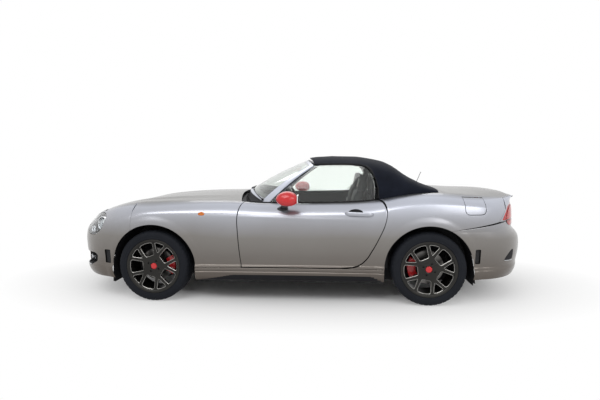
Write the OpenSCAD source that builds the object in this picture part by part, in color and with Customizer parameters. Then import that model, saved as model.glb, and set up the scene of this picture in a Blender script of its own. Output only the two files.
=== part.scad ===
/* [Overall size] */
// Distance between the front and rear axles
wheelbase = 2310; // [2100:10:2600]
// Nose to front axle
front_overhang = 840; // [740:10:940]
// Rear axle to tail
rear_overhang = 904; // [800:10:1000]
// Width across the rear arches, mirrors left out
body_width = 1740; // [1600:10:1900]
// Height of the closed roof above the ground
body_height = 1240; // [1180:10:1320]

/* [Wheels] */
// Distance between the front tyre centres
front_track = 1495; // [1440:5:1530]
// Distance between the rear tyre centres
rear_track = 1505; // [1450:5:1540]
// Tyre radius
tyre_r = 304; // [280:1:320]
// Tyre section width
tyre_w = 205; // [175:5:225]
// Radius of the rim's bead seat
rim_r = 216; // [190:1:220]
// Gap from tyre to wheel arch
arch_gap = 56; // [45:1:70]
// Brake disc radius
disc_r = 140; // [125:1:150]
// Largest steering angle each way
steer_deg = 33; // [25:1:35]

/* [Panels] */
// Thickness of wings, bonnet, boot lid and bumpers
skin_t = 10; // [6:1:14]
// Width of a shut line round a moving panel
shut_gap = 8; // [7:0.5:10]
// Thickness of a panel along its edges
hem_t = 4; // [3:0.5:5]
// Width of a joint between two fixed panels
joint_gap = 0.6; // [0.3:0.1:0.9]
// Inner face of the door, measured from the middle of the car
door_inner_y = 752; // [735:1:765]
// Thickness of the window glass
glass_t = 5; // [4:0.5:8]
// Thickness of the folding roof's cloth and padding
cloth_t = 14; // [8:1:20]

/* [Cabin] */
// Width of one seat
seat_w = 460; // [420:10:470]
// Distance of each seat's middle from the middle of the car
seat_y = 375; // [360:5:390]
// Radius of the steering wheel
steering_r = 178; // [160:2:190]

/* [Hidden] */
$fn = 48;
seat_gap = 0.3;        // gap where one piece rests on another
pin_r = 5;             // door hinge pins
small_pin_r = 4;       // bonnet, boot lid and flap hinge pins
pin_fit = 0.06;        // gap round a hinge pin or axle
frame_t = 28;          // depth of the windscreen frame
bonnet_hinge_y = 560;
lid_arm_top = 15;

// ---- where the drawn stations lie on a car of these sizes ----
base_front = 1187;
base_rear = -1123;
base_nose = 2027;
body_length = front_overhang + wheelbase + rear_overhang;
front_x = body_length/2 - front_overhang;
rear_x = front_x - wheelbase;
hub_z = tyre_r;

function px(x) = x > base_front ? front_x + (x - base_front)*front_overhang/(base_nose - base_front)
    : x < base_rear ? rear_x + (x - base_rear)*rear_overhang/(base_nose + base_rear)
    : rear_x + (x - base_rear)*wheelbase/(base_front - base_rear);
function py(y) = y*body_width/1740;
function pz(z) = z*body_height/1240;
function place(p) = [px(p.x), py(p.y), pz(p.z)];
function place_all(grid) = [for (row = grid) [for (p = row) place(p)]];

// ---- curves ----
function lerp(a, b, t) = a + (b - a)*t;
function clamp01(t) = min(1, max(0, t));
function ease(t) = let (c = clamp01(t)) c*c*(3 - 2*c);
function span_of(k, x, i = 0) = (i >= len(k) - 2 || x < k[i + 1][0]) ? i : span_of(k, x, i + 1);
function chord(k, i) = (k[i + 1][1] - k[i][1])/(k[i + 1][0] - k[i][0]);
function gap_of(k, i) = k[i + 1][0] - k[i][0];
function slope(k, i) = i == 0 ? chord(k, 0) : i == len(k) - 1 ? chord(k, i - 1)
    : (chord(k, i - 1)*gap_of(k, i) + chord(k, i)*gap_of(k, i - 1))/(gap_of(k, i) + gap_of(k, i - 1));
// Smooth curve through the knots [[x, value], ...], x rising, straight past its ends
function curve(k, x) = let (
    i = span_of(k, x), h = gap_of(k, i), t = (x - k[i][0])/h,
    m = slope(k, i)*h, n = slope(k, i + 1)*h, a = k[i][1], b = k[i + 1][1])
    t < 0 ? a + m*t : t > 1 ? b + n*(t - 1)
    : a*(2*t*t*t - 3*t*t + 1) + m*(t*t*t - 2*t*t + t) + b*(3*t*t - 2*t*t*t) + n*(t*t*t - t*t);
function hermite(p, m, q, n, u) = p*(2*u*u*u - 3*u*u + 1) + m*(u*u*u - 2*u*u + u)
    + q*(3*u*u - 2*u*u*u) + n*(u*u*u - u*u);
function bezier(p, u) = pow(1 - u, 3)*p[0] + 3*u*pow(1 - u, 2)*p[1] + 3*u*u*(1 - u)*p[2] + u*u*u*p[3];

// ---- closed solids from grids ----
function tetra(a, b, c) = cross(a, b)*c/6;
function total(v, i = 0, sum = 0) = i >= len(v) ? sum : total(v, i + 1, sum + v[i]);
function unit(v) = v/max(0.000001, norm(v));
// Points and triangles whose faces may all point the wrong way
module closed(points, faces) {
    v = total([for (f = faces) tetra(points[f[0]], points[f[1]], points[f[2]])]);
    polyhedron(points, v < 0 ? faces : [for (f = faces) [f[0], f[2], f[1]]], convexity = 6);
}
// Solid between an outer and an inner grid; open_at(i, j) leaves out a cell
module slab(outer, inner, open_at = function (i, j) false) {
    r = len(outer);
    c = len(outer[0]);
    n = r*c;
    there = function (i, j) i >= 0 && j >= 0 && i < r - 1 && j < c - 1 && !open_at(i, j);
    quad = function (a, b, d, e) [[a, b, d], [a, d, e]];
    faces = [for (i = [0:r - 2], j = [0:c - 2]) if (there(i, j))
        let (a = i*c + j, b = a + 1, d = a + c + 1, e = a + c)
        each concat(
            quad(a, b, d, e),
            quad(n + a, n + e, n + d, n + b),
            there(i - 1, j) ? [] : quad(a, n + a, n + b, b),
            there(i, j + 1) ? [] : quad(b, n + b, n + d, d),
            there(i + 1, j) ? [] : quad(d, n + d, n + e, e),
            there(i, j - 1) ? [] : quad(e, n + e, n + a, a))];
    closed(concat([for (row = outer) each row], [for (row = inner) each row]), faces);
}
// Outward normal of the surface f(a, r), where centre is a point inside the car
function normal_at(f, a, r, centre) = let (e = 0.004,
    n = unit(cross(f(a + e, r) - f(a - e, r), f(a, r + e) - f(a, r - e))))
    n*(f(a, r) - centre) < 0 ? -n : n;
// Panel on the surface f(a, r) given in real sizes, t(a, r) thick
module skin(f, cols, rows, t, centre = [0, 0, 500], open_at = function (i, j) false) {
    inside = function (p) [lerp(p.x, centre.x, 0.3), centre.y, centre.z];
    outer = [for (r = rows) [for (a = cols) f(a, r)]];
    inner = [for (r = rows) [for (a = cols) let (p = f(a, r)) p - t(a, r)*normal_at(f, a, r, inside(p))]];
    slab(outer, inner, open_at);
}
// Tube whose sections all have the same number of points; ring closes it on itself
module tube(sections, ring = false) {
    n = len(sections);
    m = len(sections[0]);
    last = ring ? n - 1 : n - 2;
    walls = [for (i = [0:last], j = [0:m - 1])
        let (k = (i + 1) % n, l = (j + 1) % m)
        each [[i*m + j, i*m + l, k*m + l], [i*m + j, k*m + l, k*m + j]]];
    ends = ring ? [] : concat([for (j = [1:m - 2]) [0, j + 1, j]],
        [for (j = [1:m - 2]) [(n - 1)*m, (n - 1)*m + j, (n - 1)*m + j + 1]]);
    closed([for (s = sections) each s], concat(walls, ends));
}
module right_side() {
    mirror([0, 1, 0]) children();
}
module both_sides() {
    children();
    mirror([0, 1, 0]) children();
}
// Box between two corners given at drawn stations
module block(a, b) {
    p = place(a);
    q = place(b);
    translate(p) cube(q - p);
}
module rod(p, q, r) {
    d = q - p;
    translate(p) rotate([0, acos(d.z/norm(d)), atan2(d.y, d.x)]) cylinder(r = r, h = norm(d));
}
function steps(a, b, n) = [for (i = [0:n]) lerp(a, b, i/n)];
function flat(t) = function (a, r) t;

// ---- the body's surface, drawn at the base stations ----
arch_r = tyre_r + arch_gap;
corner_l = 600;   // length over which the plan turns in at nose and tail
corner_p = 2.5;   // how square that turn is
shoulder_h = 95;  // height of the turn from side to top
tail_x = -base_nose;
// Half width along the car
width_k = [[-2030, 856], [-1430, 856], [-1123, 860], [-700, 856], [-300, 849], [100, 847], [500, 851],
    [900, 856],
    [1187, 858], [1430, 855], [2030, 855]];
// How far the side stands in from the half width, by height
side_k = [[160, -42], [185, -26], [235, -14], [280, -9], [299, -13], [316, -32], [345, -36], [420, -28],
    [520, -15], [620, -5], [690, 0], [735, -6], [785, -22], [850, -62]];
// Height of the edge between side panels and the bonnet, windows, roof and boot lid
crest_k = [[-1900, 858], [-1733, 880], [-1614, 893], [-1455, 907], [-1295, 920], [-1167, 924],
    [-1030, 915], [-892, 897],
    [-780, 877], [-674, 860], [-567, 850], [-316, 841], [0, 837], [240, 839], [433, 849], [633, 855],
        [898, 854],
    [1166, 848], [1410, 832], [1600, 790], [1735, 743], [1860, 682]];
// Distance of that edge from the middle of the car
edge_k = [[-1900, 575], [-1733, 608], [-1455, 650], [-1167, 682], [-892, 704], [-674, 714], [-316, 716],
    [100, 716],
    [433, 712], [633, 706], [898, 695], [1166, 675], [1371, 655], [1600, 620], [1735, 575], [1860, 495]];
// How far the nose and the tail stand in from their furthest point, by height
nose_k = [[160, 110], [185, 62], [220, 27], [276, 10], [369, 3], [453, 0], [537, 5], [590, 20], [620, 38],
    [650, 66], [690, 118], [725, 176], [755, 245], [785, 330], [812, 430], [835, 550]];
tail_k = [[180, 85], [200, 62], [240, 37], [331, 14], [423, 0], [500, 2], [545, 12], [575, 32], [600, 56],
    [625, 68], [660, 71], [800, 76], [860, 82]];
// Height of the bonnet's middle line along the car
bonnet_k = [[430, 905], [520, 903], [606, 899], [855, 889], [1107, 873], [1234, 862], [1362, 848],
    [1491, 829],
    [1620, 802], [1750, 766], [1850, 726], [1909, 690]];
// Height of the rear deck's middle line along the car
deck_k = [[-1960, 850], [-1930, 877], [-1895, 889], [-1836, 899], [-1722, 912], [-1606, 922], [-1491, 930],
    [-1375, 936], [-1262, 941], [-1150, 946]];

function turn_in(t) = t <= 0 ? 1 : t >= 1 ? 0 : pow(1 - pow(t, corner_p), 1/corner_p);
function crest(x) = curve(crest_k, x);
function edge_y(x) = curve(edge_k, x);
// The flares stand out round each wheel
function flare(x, z) = let (
    rf = norm([x - base_front, z - hub_z]), rr = norm([x - base_rear, z - hub_z]))
    10*(ease(1 - (rf - arch_r - 18)/60) + ease(1 - (rr - arch_r - 18)/60));
function lifted(x, z) = z < 640 ? z : 640 + (z - 640)*210/(crest(x) - 640);
function nose_at(z) = base_nose - curve(nose_k, z);
function tail_at(z) = tail_x + curve(tail_k, z);
function side_y(x, z) = (curve(width_k, x) + curve(side_k, lifted(x, z)) + flare(x, z))
    *turn_in((x - nose_at(z) + corner_l)/corner_l)*turn_in((tail_at(z) + corner_l - x)/corner_l);
function shoulder_z(x) = crest(x) - shoulder_h;
// Section at station x: row 0 to 1 rises from z0 to the shoulder, row 1 to 2 turns over it to the edge
function side_point(x, z0, row) = let (zs = shoulder_z(x)) row <= 1
    ? let (z = lerp(z0, zs, row)) [x, side_y(x, z), z]
    : let (y0 = side_y(x, zs), lean = (y0 - side_y(x, zs - 8))/8,
        p = hermite([y0, zs], [lean, 1]*115, [edge_y(x), crest(x)], [-1, 0.05]*(y0 - edge_y(x))*1.15,
            row - 1))
        [x, p[0], p[1]];

// ---- shut lines in side view: station by height ----
door_z = 307.4;   // lower edge of the door
sill_z = 299.4;   // top of the sill
panel_z = 302.4;  // lower edge of wing and quarter above the sill
door_front_k = [[290, 425], [378, 438], [500, 447], [615, 452], [700, 454], [760, 448], [800, 437],
    [835, 415], [860, 396]];
door_rear_k = [[307, -405], [311, -470], [320, -525], [338, -566], [367, -600], [455, -658], [564, -715],
    [669, -761],
    [740, -777], [780, -777], [828, -755], [870, -715]];
wing_front_x = 1371;  // joint between wing and bumper
seam_gap = 3;         // gap of that joint, wide enough for the bumper's inner edge
seam_deg = 118;       // where the joint between quarter and bumper leaves the rear arch
function door_front(z) = curve(door_front_k, z);
function door_rear(z) = curve(door_rear_k, max(307, z));
function on_arch(cx, deg) = [cx + arch_r*cos(deg), hub_z + arch_r*sin(deg)];
function arch_front_x(z) = base_front + sqrt(max(pow(wing_front_x - base_front, 2),
    arch_r*arch_r - pow(z - hub_z, 2)));
function arch_rear_x(z) = base_rear - sqrt(max(pow(arch_r*cos(seam_deg), 2),
    arch_r*arch_r - pow(z - hub_z, 2)));

rows_low = [0, 0.012, 0.03, 0.065, 0.13, 0.26, 0.42, 0.58, 0.74, 0.88, 1];
rows_top = [1.2, 1.4, 1.6, 1.8, 2];
rows_side = concat(rows_low, rows_top);

// ---- wings ----
wing_split = 0.68;
function wing_foot(a) = let (first = acos((wing_front_x - seam_gap - base_front)/arch_r))
    a < wing_split ? on_arch(base_front, lerp(first, 180, a/wing_split))
    : let (b = (a - wing_split)/(1 - wing_split))
        [lerp(base_front - arch_r, door_front(sill_z) + shut_gap, b), lerp(hub_z, panel_z, min(1, 8*b))];
function wing_back(z) = door_front(z) + shut_gap;
function wing_head(a) = lerp(wing_front_x - seam_gap, wing_back(crest(404)),
    a < wing_split ? a/wing_split*0.62 : 0.62 + 0.38*(a - wing_split)/(1 - wing_split));
wing_at = function (a, row) let (
    f = wing_foot(a), h = wing_head(a), t = min(1, row),
    zb = row <= 1 ? lerp(sill_z, shoulder_z(404), row) : lerp(shoulder_z(404), crest(404), row - 1),
    straight = lerp(wing_back(sill_z), wing_back(crest(404)), t),
    x = lerp(f[0], h, t) + ease((a - 0.5)*2)*(wing_back(zb) - straight))
    place(side_point(x, f[1], row));
wing_cols = concat(steps(0, wing_split, 13), steps(0.72, 1, 7));
module wing() color("silver") {
    skin(wing_at, wing_cols, rows_side, flat(hem_t), [0, 300, 400]);
}

// ---- quarters behind the doors ----
quarter_tail = [-1690, 688];      // lower rear corner of the quarter
quarter_top_x = -1765;            // its upper rear corner
split_a = 0.16;
split_b = 0.62;
function quarter_foot(a) = a < split_a
    ? let (b = a/split_a) [lerp(quarter_front(panel_z), base_rear + arch_r, b),
        lerp(panel_z, hub_z, max(0, 1 - 8*(1 - b)))]
    : a < split_b ? on_arch(base_rear, lerp(0, seam_deg, (a - split_a)/(split_b - split_a)))
    : let (b = (a - split_b)/(1 - split_b), s = on_arch(base_rear, seam_deg))
        [lerp(s[0], quarter_tail[0], b), lerp(s[1], quarter_tail[1], b)];
function quarter_front(z) = let (k = clamp01((z - 640)/120)) door_rear(z + shut_gap*(1 - 2*k)) - shut_gap;
function quarter_sweep(a, t) = pow(max(0, t), lerp(1.8, 1, ease((a - 0.35)/0.25)));
function quarter_head(a) = let (x0 = quarter_front(crest(-723)), x1 = -1000, x2 = -1330)
    a < split_a ? lerp(x0, x1, a/split_a)
    : a < split_b ? lerp(x1, x2, (a - split_a)/(split_b - split_a))
        : lerp(x2, quarter_top_x, (a - split_b)/(1 - split_b));
quarter_at = function (a, row) let (
    f = quarter_foot(a), h = quarter_head(a), t = quarter_sweep(a, min(1, row)),
    zf = row <= 1 ? lerp(panel_z, shoulder_z(-723), row) : lerp(shoulder_z(-723), crest(-723), row - 1),
    straight = lerp(quarter_front(panel_z), quarter_front(crest(-723)), t),
    x = lerp(f[0], h, t) + ease(1 - a/split_a)*(quarter_front(zf) - straight))
    place(side_point(x, f[1], row));
// Fuel flap's opening: columns and rows of the quarter's surface
flap_a = split_b + (1 - split_b)*(1395 - 1330)/(-quarter_top_x - 1330);
flap_b = split_b + (1 - split_b)*(1575 - 1330)/(-quarter_top_x - 1330);
flap_low = 0.9;
flap_high = 1.72;
quarter_cols = concat(steps(0, split_a, 4), steps(0.2, split_b, 9),
    [flap_a, (2*flap_a + flap_b)/3, (flap_a + 2*flap_b)/3, flap_b,
    (flap_b + 1)/2, 1]);
quarter_rows = [0, 0.012, 0.03, 0.065, 0.13, 0.26, 0.42, 0.58, 0.74, flap_low, 1, 1.2, 1.45, flap_high,
    1.86, 2];
module quarter(flap) color("silver") {
    skin(quarter_at, quarter_cols, quarter_rows, flat(hem_t), [0, 300, 400],
        function (i, j) flap && quarter_cols[j] >= flap_a - 0.001 && quarter_cols[j] < flap_b - 0.001
            && quarter_rows[i] >= flap_low - 0.001 && quarter_rows[i] < flap_high - 0.001);
    if (flap) flap_bracket();
}
// The flap's hinge: u runs backwards, n outwards, square to the flap, and d down along it
flap_ahead = 70;      // hinge axis ahead of the flap's front edge
flap_under = 16;      // and below its surface
module at_flap_hinge() {
    low = quarter_at(flap_a, flap_low);
    high = quarter_at(flap_a, flap_high);
    mid = quarter_at(flap_a, (flap_low + flap_high)/2);
    d = unit([0, high.y - low.y, high.z - low.z]);
    n = [0, d.z, -d.y];
    a = [mid.x + flap_ahead, mid.y - n.y*flap_under, mid.z - n.z*flap_under];
    multmatrix([[-1, 0, 0, a.x], [0, n.y, -d.y, a.y], [0, n.z, -d.z, a.z]]) children();
}
module flap_bracket() {
    at_flap_hinge() {
        translate([0, 0, -20]) cylinder(r = small_pin_r, h = 40);
        for (z = [-20, 14]) translate([-9, -7, z]) cube([18, flap_under + 10, 6]);
    }
}
module flap_arm() {
    at_flap_hinge() difference() {
        union() {
            cylinder(r = 8, h = 22, center = true);
            translate([0, 0, -6]) linear_extrude(12) polygon([[6, 4], [14, -32], [50, -68], [70, -46],
                [83, -8], [84, 13], [96, 13],
                [95, -12], [81, -55], [52, -84], [2, -40], [-6, -4]]);
        }
        cylinder(r = small_pin_r + pin_fit, h = 24, center = true);
    }
}
module fuel_flap() color("silver") {
    flap_arm();
    da = 0.0155;
    skin(quarter_at, steps(flap_a + da, flap_b - da, 4), [flap_low + 0.014, 1, 1.15, 1.3, 1.45,
        flap_high - 0.05], flat(hem_t),
        [0, 300, 400]);
}

// ---- doors ----
function door_x(a, z) = lerp(door_rear(z), door_front(z), a);
door_at = function (a, row) let (
    x1 = door_x(a, 700), z = row <= 1 ? lerp(door_z, shoulder_z(x1), row)
        : lerp(shoulder_z(x1), crest(x1), row - 1))
    place(side_point(door_x(a, z), door_z, row));
door_cols = concat([0, 0.028], steps(0.05, 0.905, 9), [0.93, 0.955, 1]);
rows_door = [0, 0.012, 0.03, 0.065, 0.075, 0.13, 0.26, 0.42, 0.58, 0.74, 0.88, 1, 1.25, 1.5, 1.75, 2];
// The door's shell fills its whole wall, except along the edges of its outer skin
module door() color("silver") {
    outer = [for (r = rows_door) [for (a = door_cols) door_at(a, r)]];
    hem = function (a, r) a < 0.03 || a > 0.92 || r < 0.07 || r > 1.9;
    inner = [for (r = rows_door) [for (a = door_cols) let (p = door_at(a, r),
        n = normal_at(door_at, a, r, [0, 300, 400]))
        hem(a, r) ? p - hem_t*n : r <= 1 ? [p.x, py(door_inner_y), p.z]
        : [p.x, py(lerp(door_inner_y, edge_y(0) + 4, (r - 1)/0.9)), p.z - 20]]];
    slab(outer, inner);
    door_hinge_leaves();
}
// Hinge axis of the left door, upright behind its front edge
hinge_x = 395;
hinge_y = 817;
hinge_zs = [570, 710];
module door_hinge_leaves() {
    for (z = hinge_zs) difference() {
        union() {
            translate([px(hinge_x), py(hinge_y), pz(z) - 15]) cylinder(r = 10, h = 30);
            translate([px(hinge_x) - 60, py(hinge_y) - 8, pz(z) - 15]) cube([60, 12, 30]);
        }
        translate([px(hinge_x), py(hinge_y), pz(z) - 16]) cylinder(r = pin_r + pin_fit, h = 32);
    }
}

// ---- corner surfaces at nose and tail: u runs from the wheel arch, 0, to the middle, 1 ----
function toward(u) = pow(max(0, sin(90*u)), 2/corner_p);
function across(u) = pow(max(0, cos(90*u)), 2/corner_p);
bonnet_corner = [1735, 575];
bonnet_nose = 1850;
// Front and side edge of the bonnet, seen from above
function bonnet_edge(u) = u <= 0.5
    ? let (x = lerp(wing_front_x, bonnet_corner[0], toward(u)/toward(0.5))) [x, edge_y(x), crest(x)]
    : let (s = across(u)/across(0.5), x = bonnet_nose - (bonnet_nose - bonnet_corner[0])*pow(s, 2.2))
        [x, bonnet_corner[1]*s, lerp(curve(bonnet_k, x), crest(bonnet_corner[0]), s*s)];
nose_foot = 200;
function nose_shoulder(u) = lerp(shoulder_z(wing_front_x), 650, ease(u/0.6));
function corner_front(u, z) = let (x = lerp(arch_front_x(z), nose_at(z), toward(u))) [x, side_y(x, z), z];
function nose_at_row(u, row) = let (zs = nose_shoulder(u)) row <= 1
    ? corner_front(u, lerp(nose_foot, zs, row))
    : let (p = corner_front(u, zs), o = corner_front(u, zs - 8), q = bonnet_edge(u),
        w = 90*ease((u - 0.35)/0.3), len = norm(q - p),
        m = unit(p - o)*len*1.1, n = [-sin(w), -cos(w), lerp(0.05, 0.3, ease((u - 0.3)*2))]*len*1.1)
        hermite(p, m, q, n, row - 1);
function mirrored(p, s) = [p.x, s < 0 ? -p.y : p.y, p.z];
nose_surface = function (s, row) place(mirrored(nose_at_row(1 - abs(s), row), s));
lamp_u = [0.24, 0.53];
lamp_rows = [0.76, 1.45];
mouth_s = 0.27;
mouth_rows = [0.12, 0.5];
nose_half = [0.09, 0.18, mouth_s, 0.37, 1 - lamp_u[1], 0.56, 0.66, 1 - lamp_u[0], 0.84, 0.92, 1];
nose_cols = concat([for (i = [len(nose_half) - 1:-1:0]) -nose_half[i]], [0], nose_half);
nose_rows = [0, 0.06, mouth_rows[0], 0.3, mouth_rows[1], 0.64, lamp_rows[0], 0.88, 1, 1.22, lamp_rows[1],
    1.72, 2];
function within(v, a, b) = v >= a - 0.0001 && v < b - 0.0001;
module front_bumper() color("silver") {
    skin(nose_surface, nose_cols, nose_rows, function (a, r) r > 1.6 ? hem_t : skin_t, [900, 0, 450],
        function (i, j) let (s = nose_cols[j], r = nose_rows[i])
        (within(r, mouth_rows[0], mouth_rows[1]) && within(s, -mouth_s, mouth_s))
        || (within(r, lamp_rows[0], lamp_rows[1]) && (within(s, 1 - lamp_u[1], 1 - lamp_u[0]) || within(s,
            lamp_u[0] - 1, lamp_u[1] - 1))));
}
module headlights() color("white") {
    both_sides() skin(nose_surface, [1 - lamp_u[1] + 0.0014, 0.56, 0.66, 1 - lamp_u[0] - 0.0018],
        [lamp_rows[0] + 0.0022, 0.88, 1, 1.22, lamp_rows[1] - 0.006], flat(40), [900, 0, 450]);
}
module grille() color("dimgray") {
    skin(nose_surface, [0.005 - mouth_s, -0.18, -0.09, 0, 0.09, 0.18, mouth_s - 0.005],
        [mouth_rows[0] + 0.004, 0.3, mouth_rows[1] - 0.004], flat(24), [900, 0, 450]);
}

// ---- bonnet ----
bonnet_back = [520, 440];   // station of its rear edge in the middle and at the sides
bonnet_at = function (s, r) let (
    xs = lerp(bonnet_back[1], bonnet_corner[0], r), half = edge_y(xs) - shut_gap - max(0, 0.03*(xs - 1600)),
    front = bonnet_nose - shut_gap - (bonnet_nose - bonnet_corner[0] + 3)*pow(abs(s), 2.2),
    back = lerp(bonnet_back[0], bonnet_back[1], s*s), x = lerp(back, front, r), zc = curve(bonnet_k, x))
    place([x, s*half, lerp(zc, crest(xs), s*s) + 5*exp(-pow((abs(s) - 0.62)/0.14, 2))*sin(180*r)]);
bonnet_pin = [425, 852];
module bonnet() color("silver") {
    skin(bonnet_at, steps(-1, 1, 16), steps(0, 1, 14), function (a, r)
        r < 0.02 || r > 0.98 || abs(a) > 0.98 ? hem_t : skin_t,
        [1100, 0, 300]);
    both_sides() translate([px(bonnet_pin[0]), py(bonnet_hinge_y), pz(bonnet_pin[1])]) difference() {
        union() {
            translate([0, -6, 0]) rotate([-90, 0, 0]) cylinder(r = 8, h = 12);
            translate([0, -6, -5]) cube([80, 12, 18]);
        }
        translate([0, -7, 0]) rotate([-90, 0, 0]) cylinder(r = small_pin_r + pin_fit, h = 14);
    }
}

// ---- tail ----
tail_foot = 225;
function seam_z(u) = let (s = on_arch(base_rear, seam_deg)[1])
    lerp(s, quarter_tail[1], min(1, toward(u)/0.74));
function corner_rear(u, z, x0) = let (x = lerp(x0, tail_at(z), toward(u))) [x, side_y(x, z), z];
bumper_rear = function (s, row) let (u = 1 - abs(s), z = lerp(tail_foot, seam_z(u), row))
    place(mirrored(corner_rear(u, z, arch_rear_x(z)), s));
tail_cols = concat(steps(-1, -0.2, 10), steps(-0.1, 0.1, 2), steps(0.2, 1, 10));
module rear_bumper() color("silver") {
    skin(bumper_rear, tail_cols, [0, 0.12, 0.26, 0.4, 0.55, 0.68, 0.76, 0.84, 0.92, 1], flat(skin_t),
        [-900, 0, 450]);
}
// Body panel round the lamps, from the quarter's end to the side of the boot lid
lid_u = 0.5;
lid_back_side = [-1893, 474, 884];
function tail_start(z) = lerp(quarter_tail[0], quarter_top_x,
    clamp01((z - quarter_tail[1])/(shoulder_z(quarter_top_x) - quarter_tail[1]))) - joint_gap;
function tail_shoulder(u) = lerp(shoulder_z(quarter_top_x), 842, ease(u/lid_u));
function tail_row(u, row) = let (zs = tail_shoulder(u), z0 = quarter_tail[1] + joint_gap)
    row <= 1 ? let (z = lerp(z0, zs, row)) corner_rear(u, z, tail_start(z))
    : let (p = corner_rear(u, zs, tail_start(zs)), o = corner_rear(u, zs - 8, tail_start(zs - 8)),
        t = u/lid_u,
        a = [quarter_top_x - joint_gap, edge_y(quarter_top_x), crest(quarter_top_x)],
            q = lerp(a, lid_back_side, t),
        len = norm(q - p), w = 70*ease(t))
        hermite(p, unit(p - o)*len*1.1, q, [sin(w), -cos(w), 0.1]*len*1.1, row - 1);
tail_surface = function (u, row) place(tail_row(u, row));
tail_lamp_u = [0.03, 0.42];
tail_lamp_rows = [0.08, 1.2];
tail_us = [0, tail_lamp_u[0], 0.12, 0.22, 0.32, tail_lamp_u[1], lid_u];
tail_rows = [0, tail_lamp_rows[0], 0.4, 0.7, 1, tail_lamp_rows[1], 1.5, 1.75, 2];
module rear_deck() color("silver") {
    both_sides() skin(tail_surface, tail_us, tail_rows, flat(hem_t), [-900, 0, 450], function (i, j)
        within(tail_us[j], tail_lamp_u[0], tail_lamp_u[1]) && within(tail_rows[i], tail_lamp_rows[0],
            tail_lamp_rows[1]));
    deck_strip();
    both_sides() boot_hinge_bracket();
}
module tail_lights() color("crimson") {
    both_sides() skin(tail_surface, steps(tail_lamp_u[0] + 0.001, tail_lamp_u[1] - 0.001, 4),
        [tail_lamp_rows[0] + 0.004, 0.4, 0.7, 1, tail_lamp_rows[1] - 0.004], flat(50), [-900, 0, 450]);
}

// ---- boot lid, with the gutter strip between it and the roof ----
strip_front = -1228;
strip_back = -1262;
lid_front = strip_back - shut_gap;
lid_lip = -1930;
boot_pin = [-1200, 906];
boot_hinge_y = 560;
notch = 34;       // width of the strip's notches for the lid's hinge arms
function deck_z(x, s) = lerp(curve(deck_k, x), crest(x), s*s);
deck_at = function (s, r) let (x = lerp(strip_front, strip_back, r))
    place([x, s*(edge_y(x) - joint_gap), deck_z(x, s)]);
module deck_strip() {
    half = edge_y(strip_back);
    a = (boot_hinge_y - notch/2)/half;
    b = (boot_hinge_y + notch/2)/half;
    cols = concat([-1, -b, -a], steps(-0.7, 0.7, 6), [a, b, 1]);
    n = len(cols);
    skin(deck_at, cols, [0, 0.4, 1], flat(skin_t), [-1200, 0, 300],
        function (i, j) i == 1 && (j == 1 || j == n - 3));
}
module boot_hinge_bracket() {
    y = py(boot_hinge_y);
    translate([px(boot_pin[0]) - 12, y + 7, pz(boot_pin[1]) - 14]) cube([30, 5, 30]);
    translate([px(boot_pin[0]) - 36, y + 7, pz(deck_z(-1236, 0.8)) - 14]) cube([30, 5, 12]);
    translate([px(boot_pin[0]), y - 7, pz(boot_pin[1])]) rotate([-90, 0, 0])
        cylinder(r = small_pin_r, h = 18);
}
function lid_side_y(x) = (x > quarter_top_x ? edge_y(x) : lerp(edge_y(quarter_top_x), lid_back_side.y,
    (quarter_top_x - x)/(quarter_top_x - lid_back_side.x))) - shut_gap;
function lid_side_z(x) = x > quarter_top_x ? crest(x)
    : lerp(crest(quarter_top_x), lid_back_side.z, (quarter_top_x - x)/(quarter_top_x - lid_back_side.x));
lid_at = function (s, r) let (lip = lerp(lid_lip, lid_back_side.x, s*s), u = 1 - (1 - lid_u - 0.012)*abs(s))
    r <= 1 ? let (x = lerp(lid_front, lip, r)) place([x, s*lid_side_y(x),
        lerp(curve(deck_k, x), lid_side_z(x), s*s)])
    : let (z = lerp(858, quarter_tail[1] + shut_gap, max(0, (r - 1.15)/0.85)),
        q = mirrored(corner_rear(u, z, tail_start(z)), s))
        place(r >= 1.15 ? q : lerp([lip, s*lid_side_y(lip),
            lerp(curve(deck_k, lip), lid_side_z(lip), s*s)], q, (r - 1)/0.15));
module boot_lid() color("silver") {
    skin(lid_at, steps(-1, 1, 14), concat(steps(0, 1, 10), [1.15, 1.4, 1.7, 2]),
        function (a, r) r < 0.02 || abs(a) > 0.98 ? hem_t : skin_t, [-1500, 0, 500]);
    both_sides() lid_arm();
}
// Gooseneck arm: it dips under the strip, so that it clears it when the lid is up
module lid_arm() {
    path = [[-4, 9], [-14, -8], [-14, -40], [-32, -64], [-48, -66], [-86, -46], [-92, lid_arm_top],
        [-106, lid_arm_top],
        [-100, -56], [-50, -80], [-26, -78], [0, -38], [4, -8]];
    difference() {
        union() {
            translate([px(boot_pin[0]), py(boot_hinge_y) + 6, pz(boot_pin[1])]) rotate([90, 0, 0])
                linear_extrude(12) polygon(path);
            translate([px(boot_pin[0]), py(boot_hinge_y) + 6, pz(boot_pin[1])]) rotate([90, 0, 0])
                cylinder(r = 9, h = 12);
        }
        translate([px(boot_pin[0]), py(boot_hinge_y) + 8, pz(boot_pin[1])]) rotate([90, 0, 0])
            cylinder(r = small_pin_r + pin_fit, h = 16);
    }
}

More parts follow.
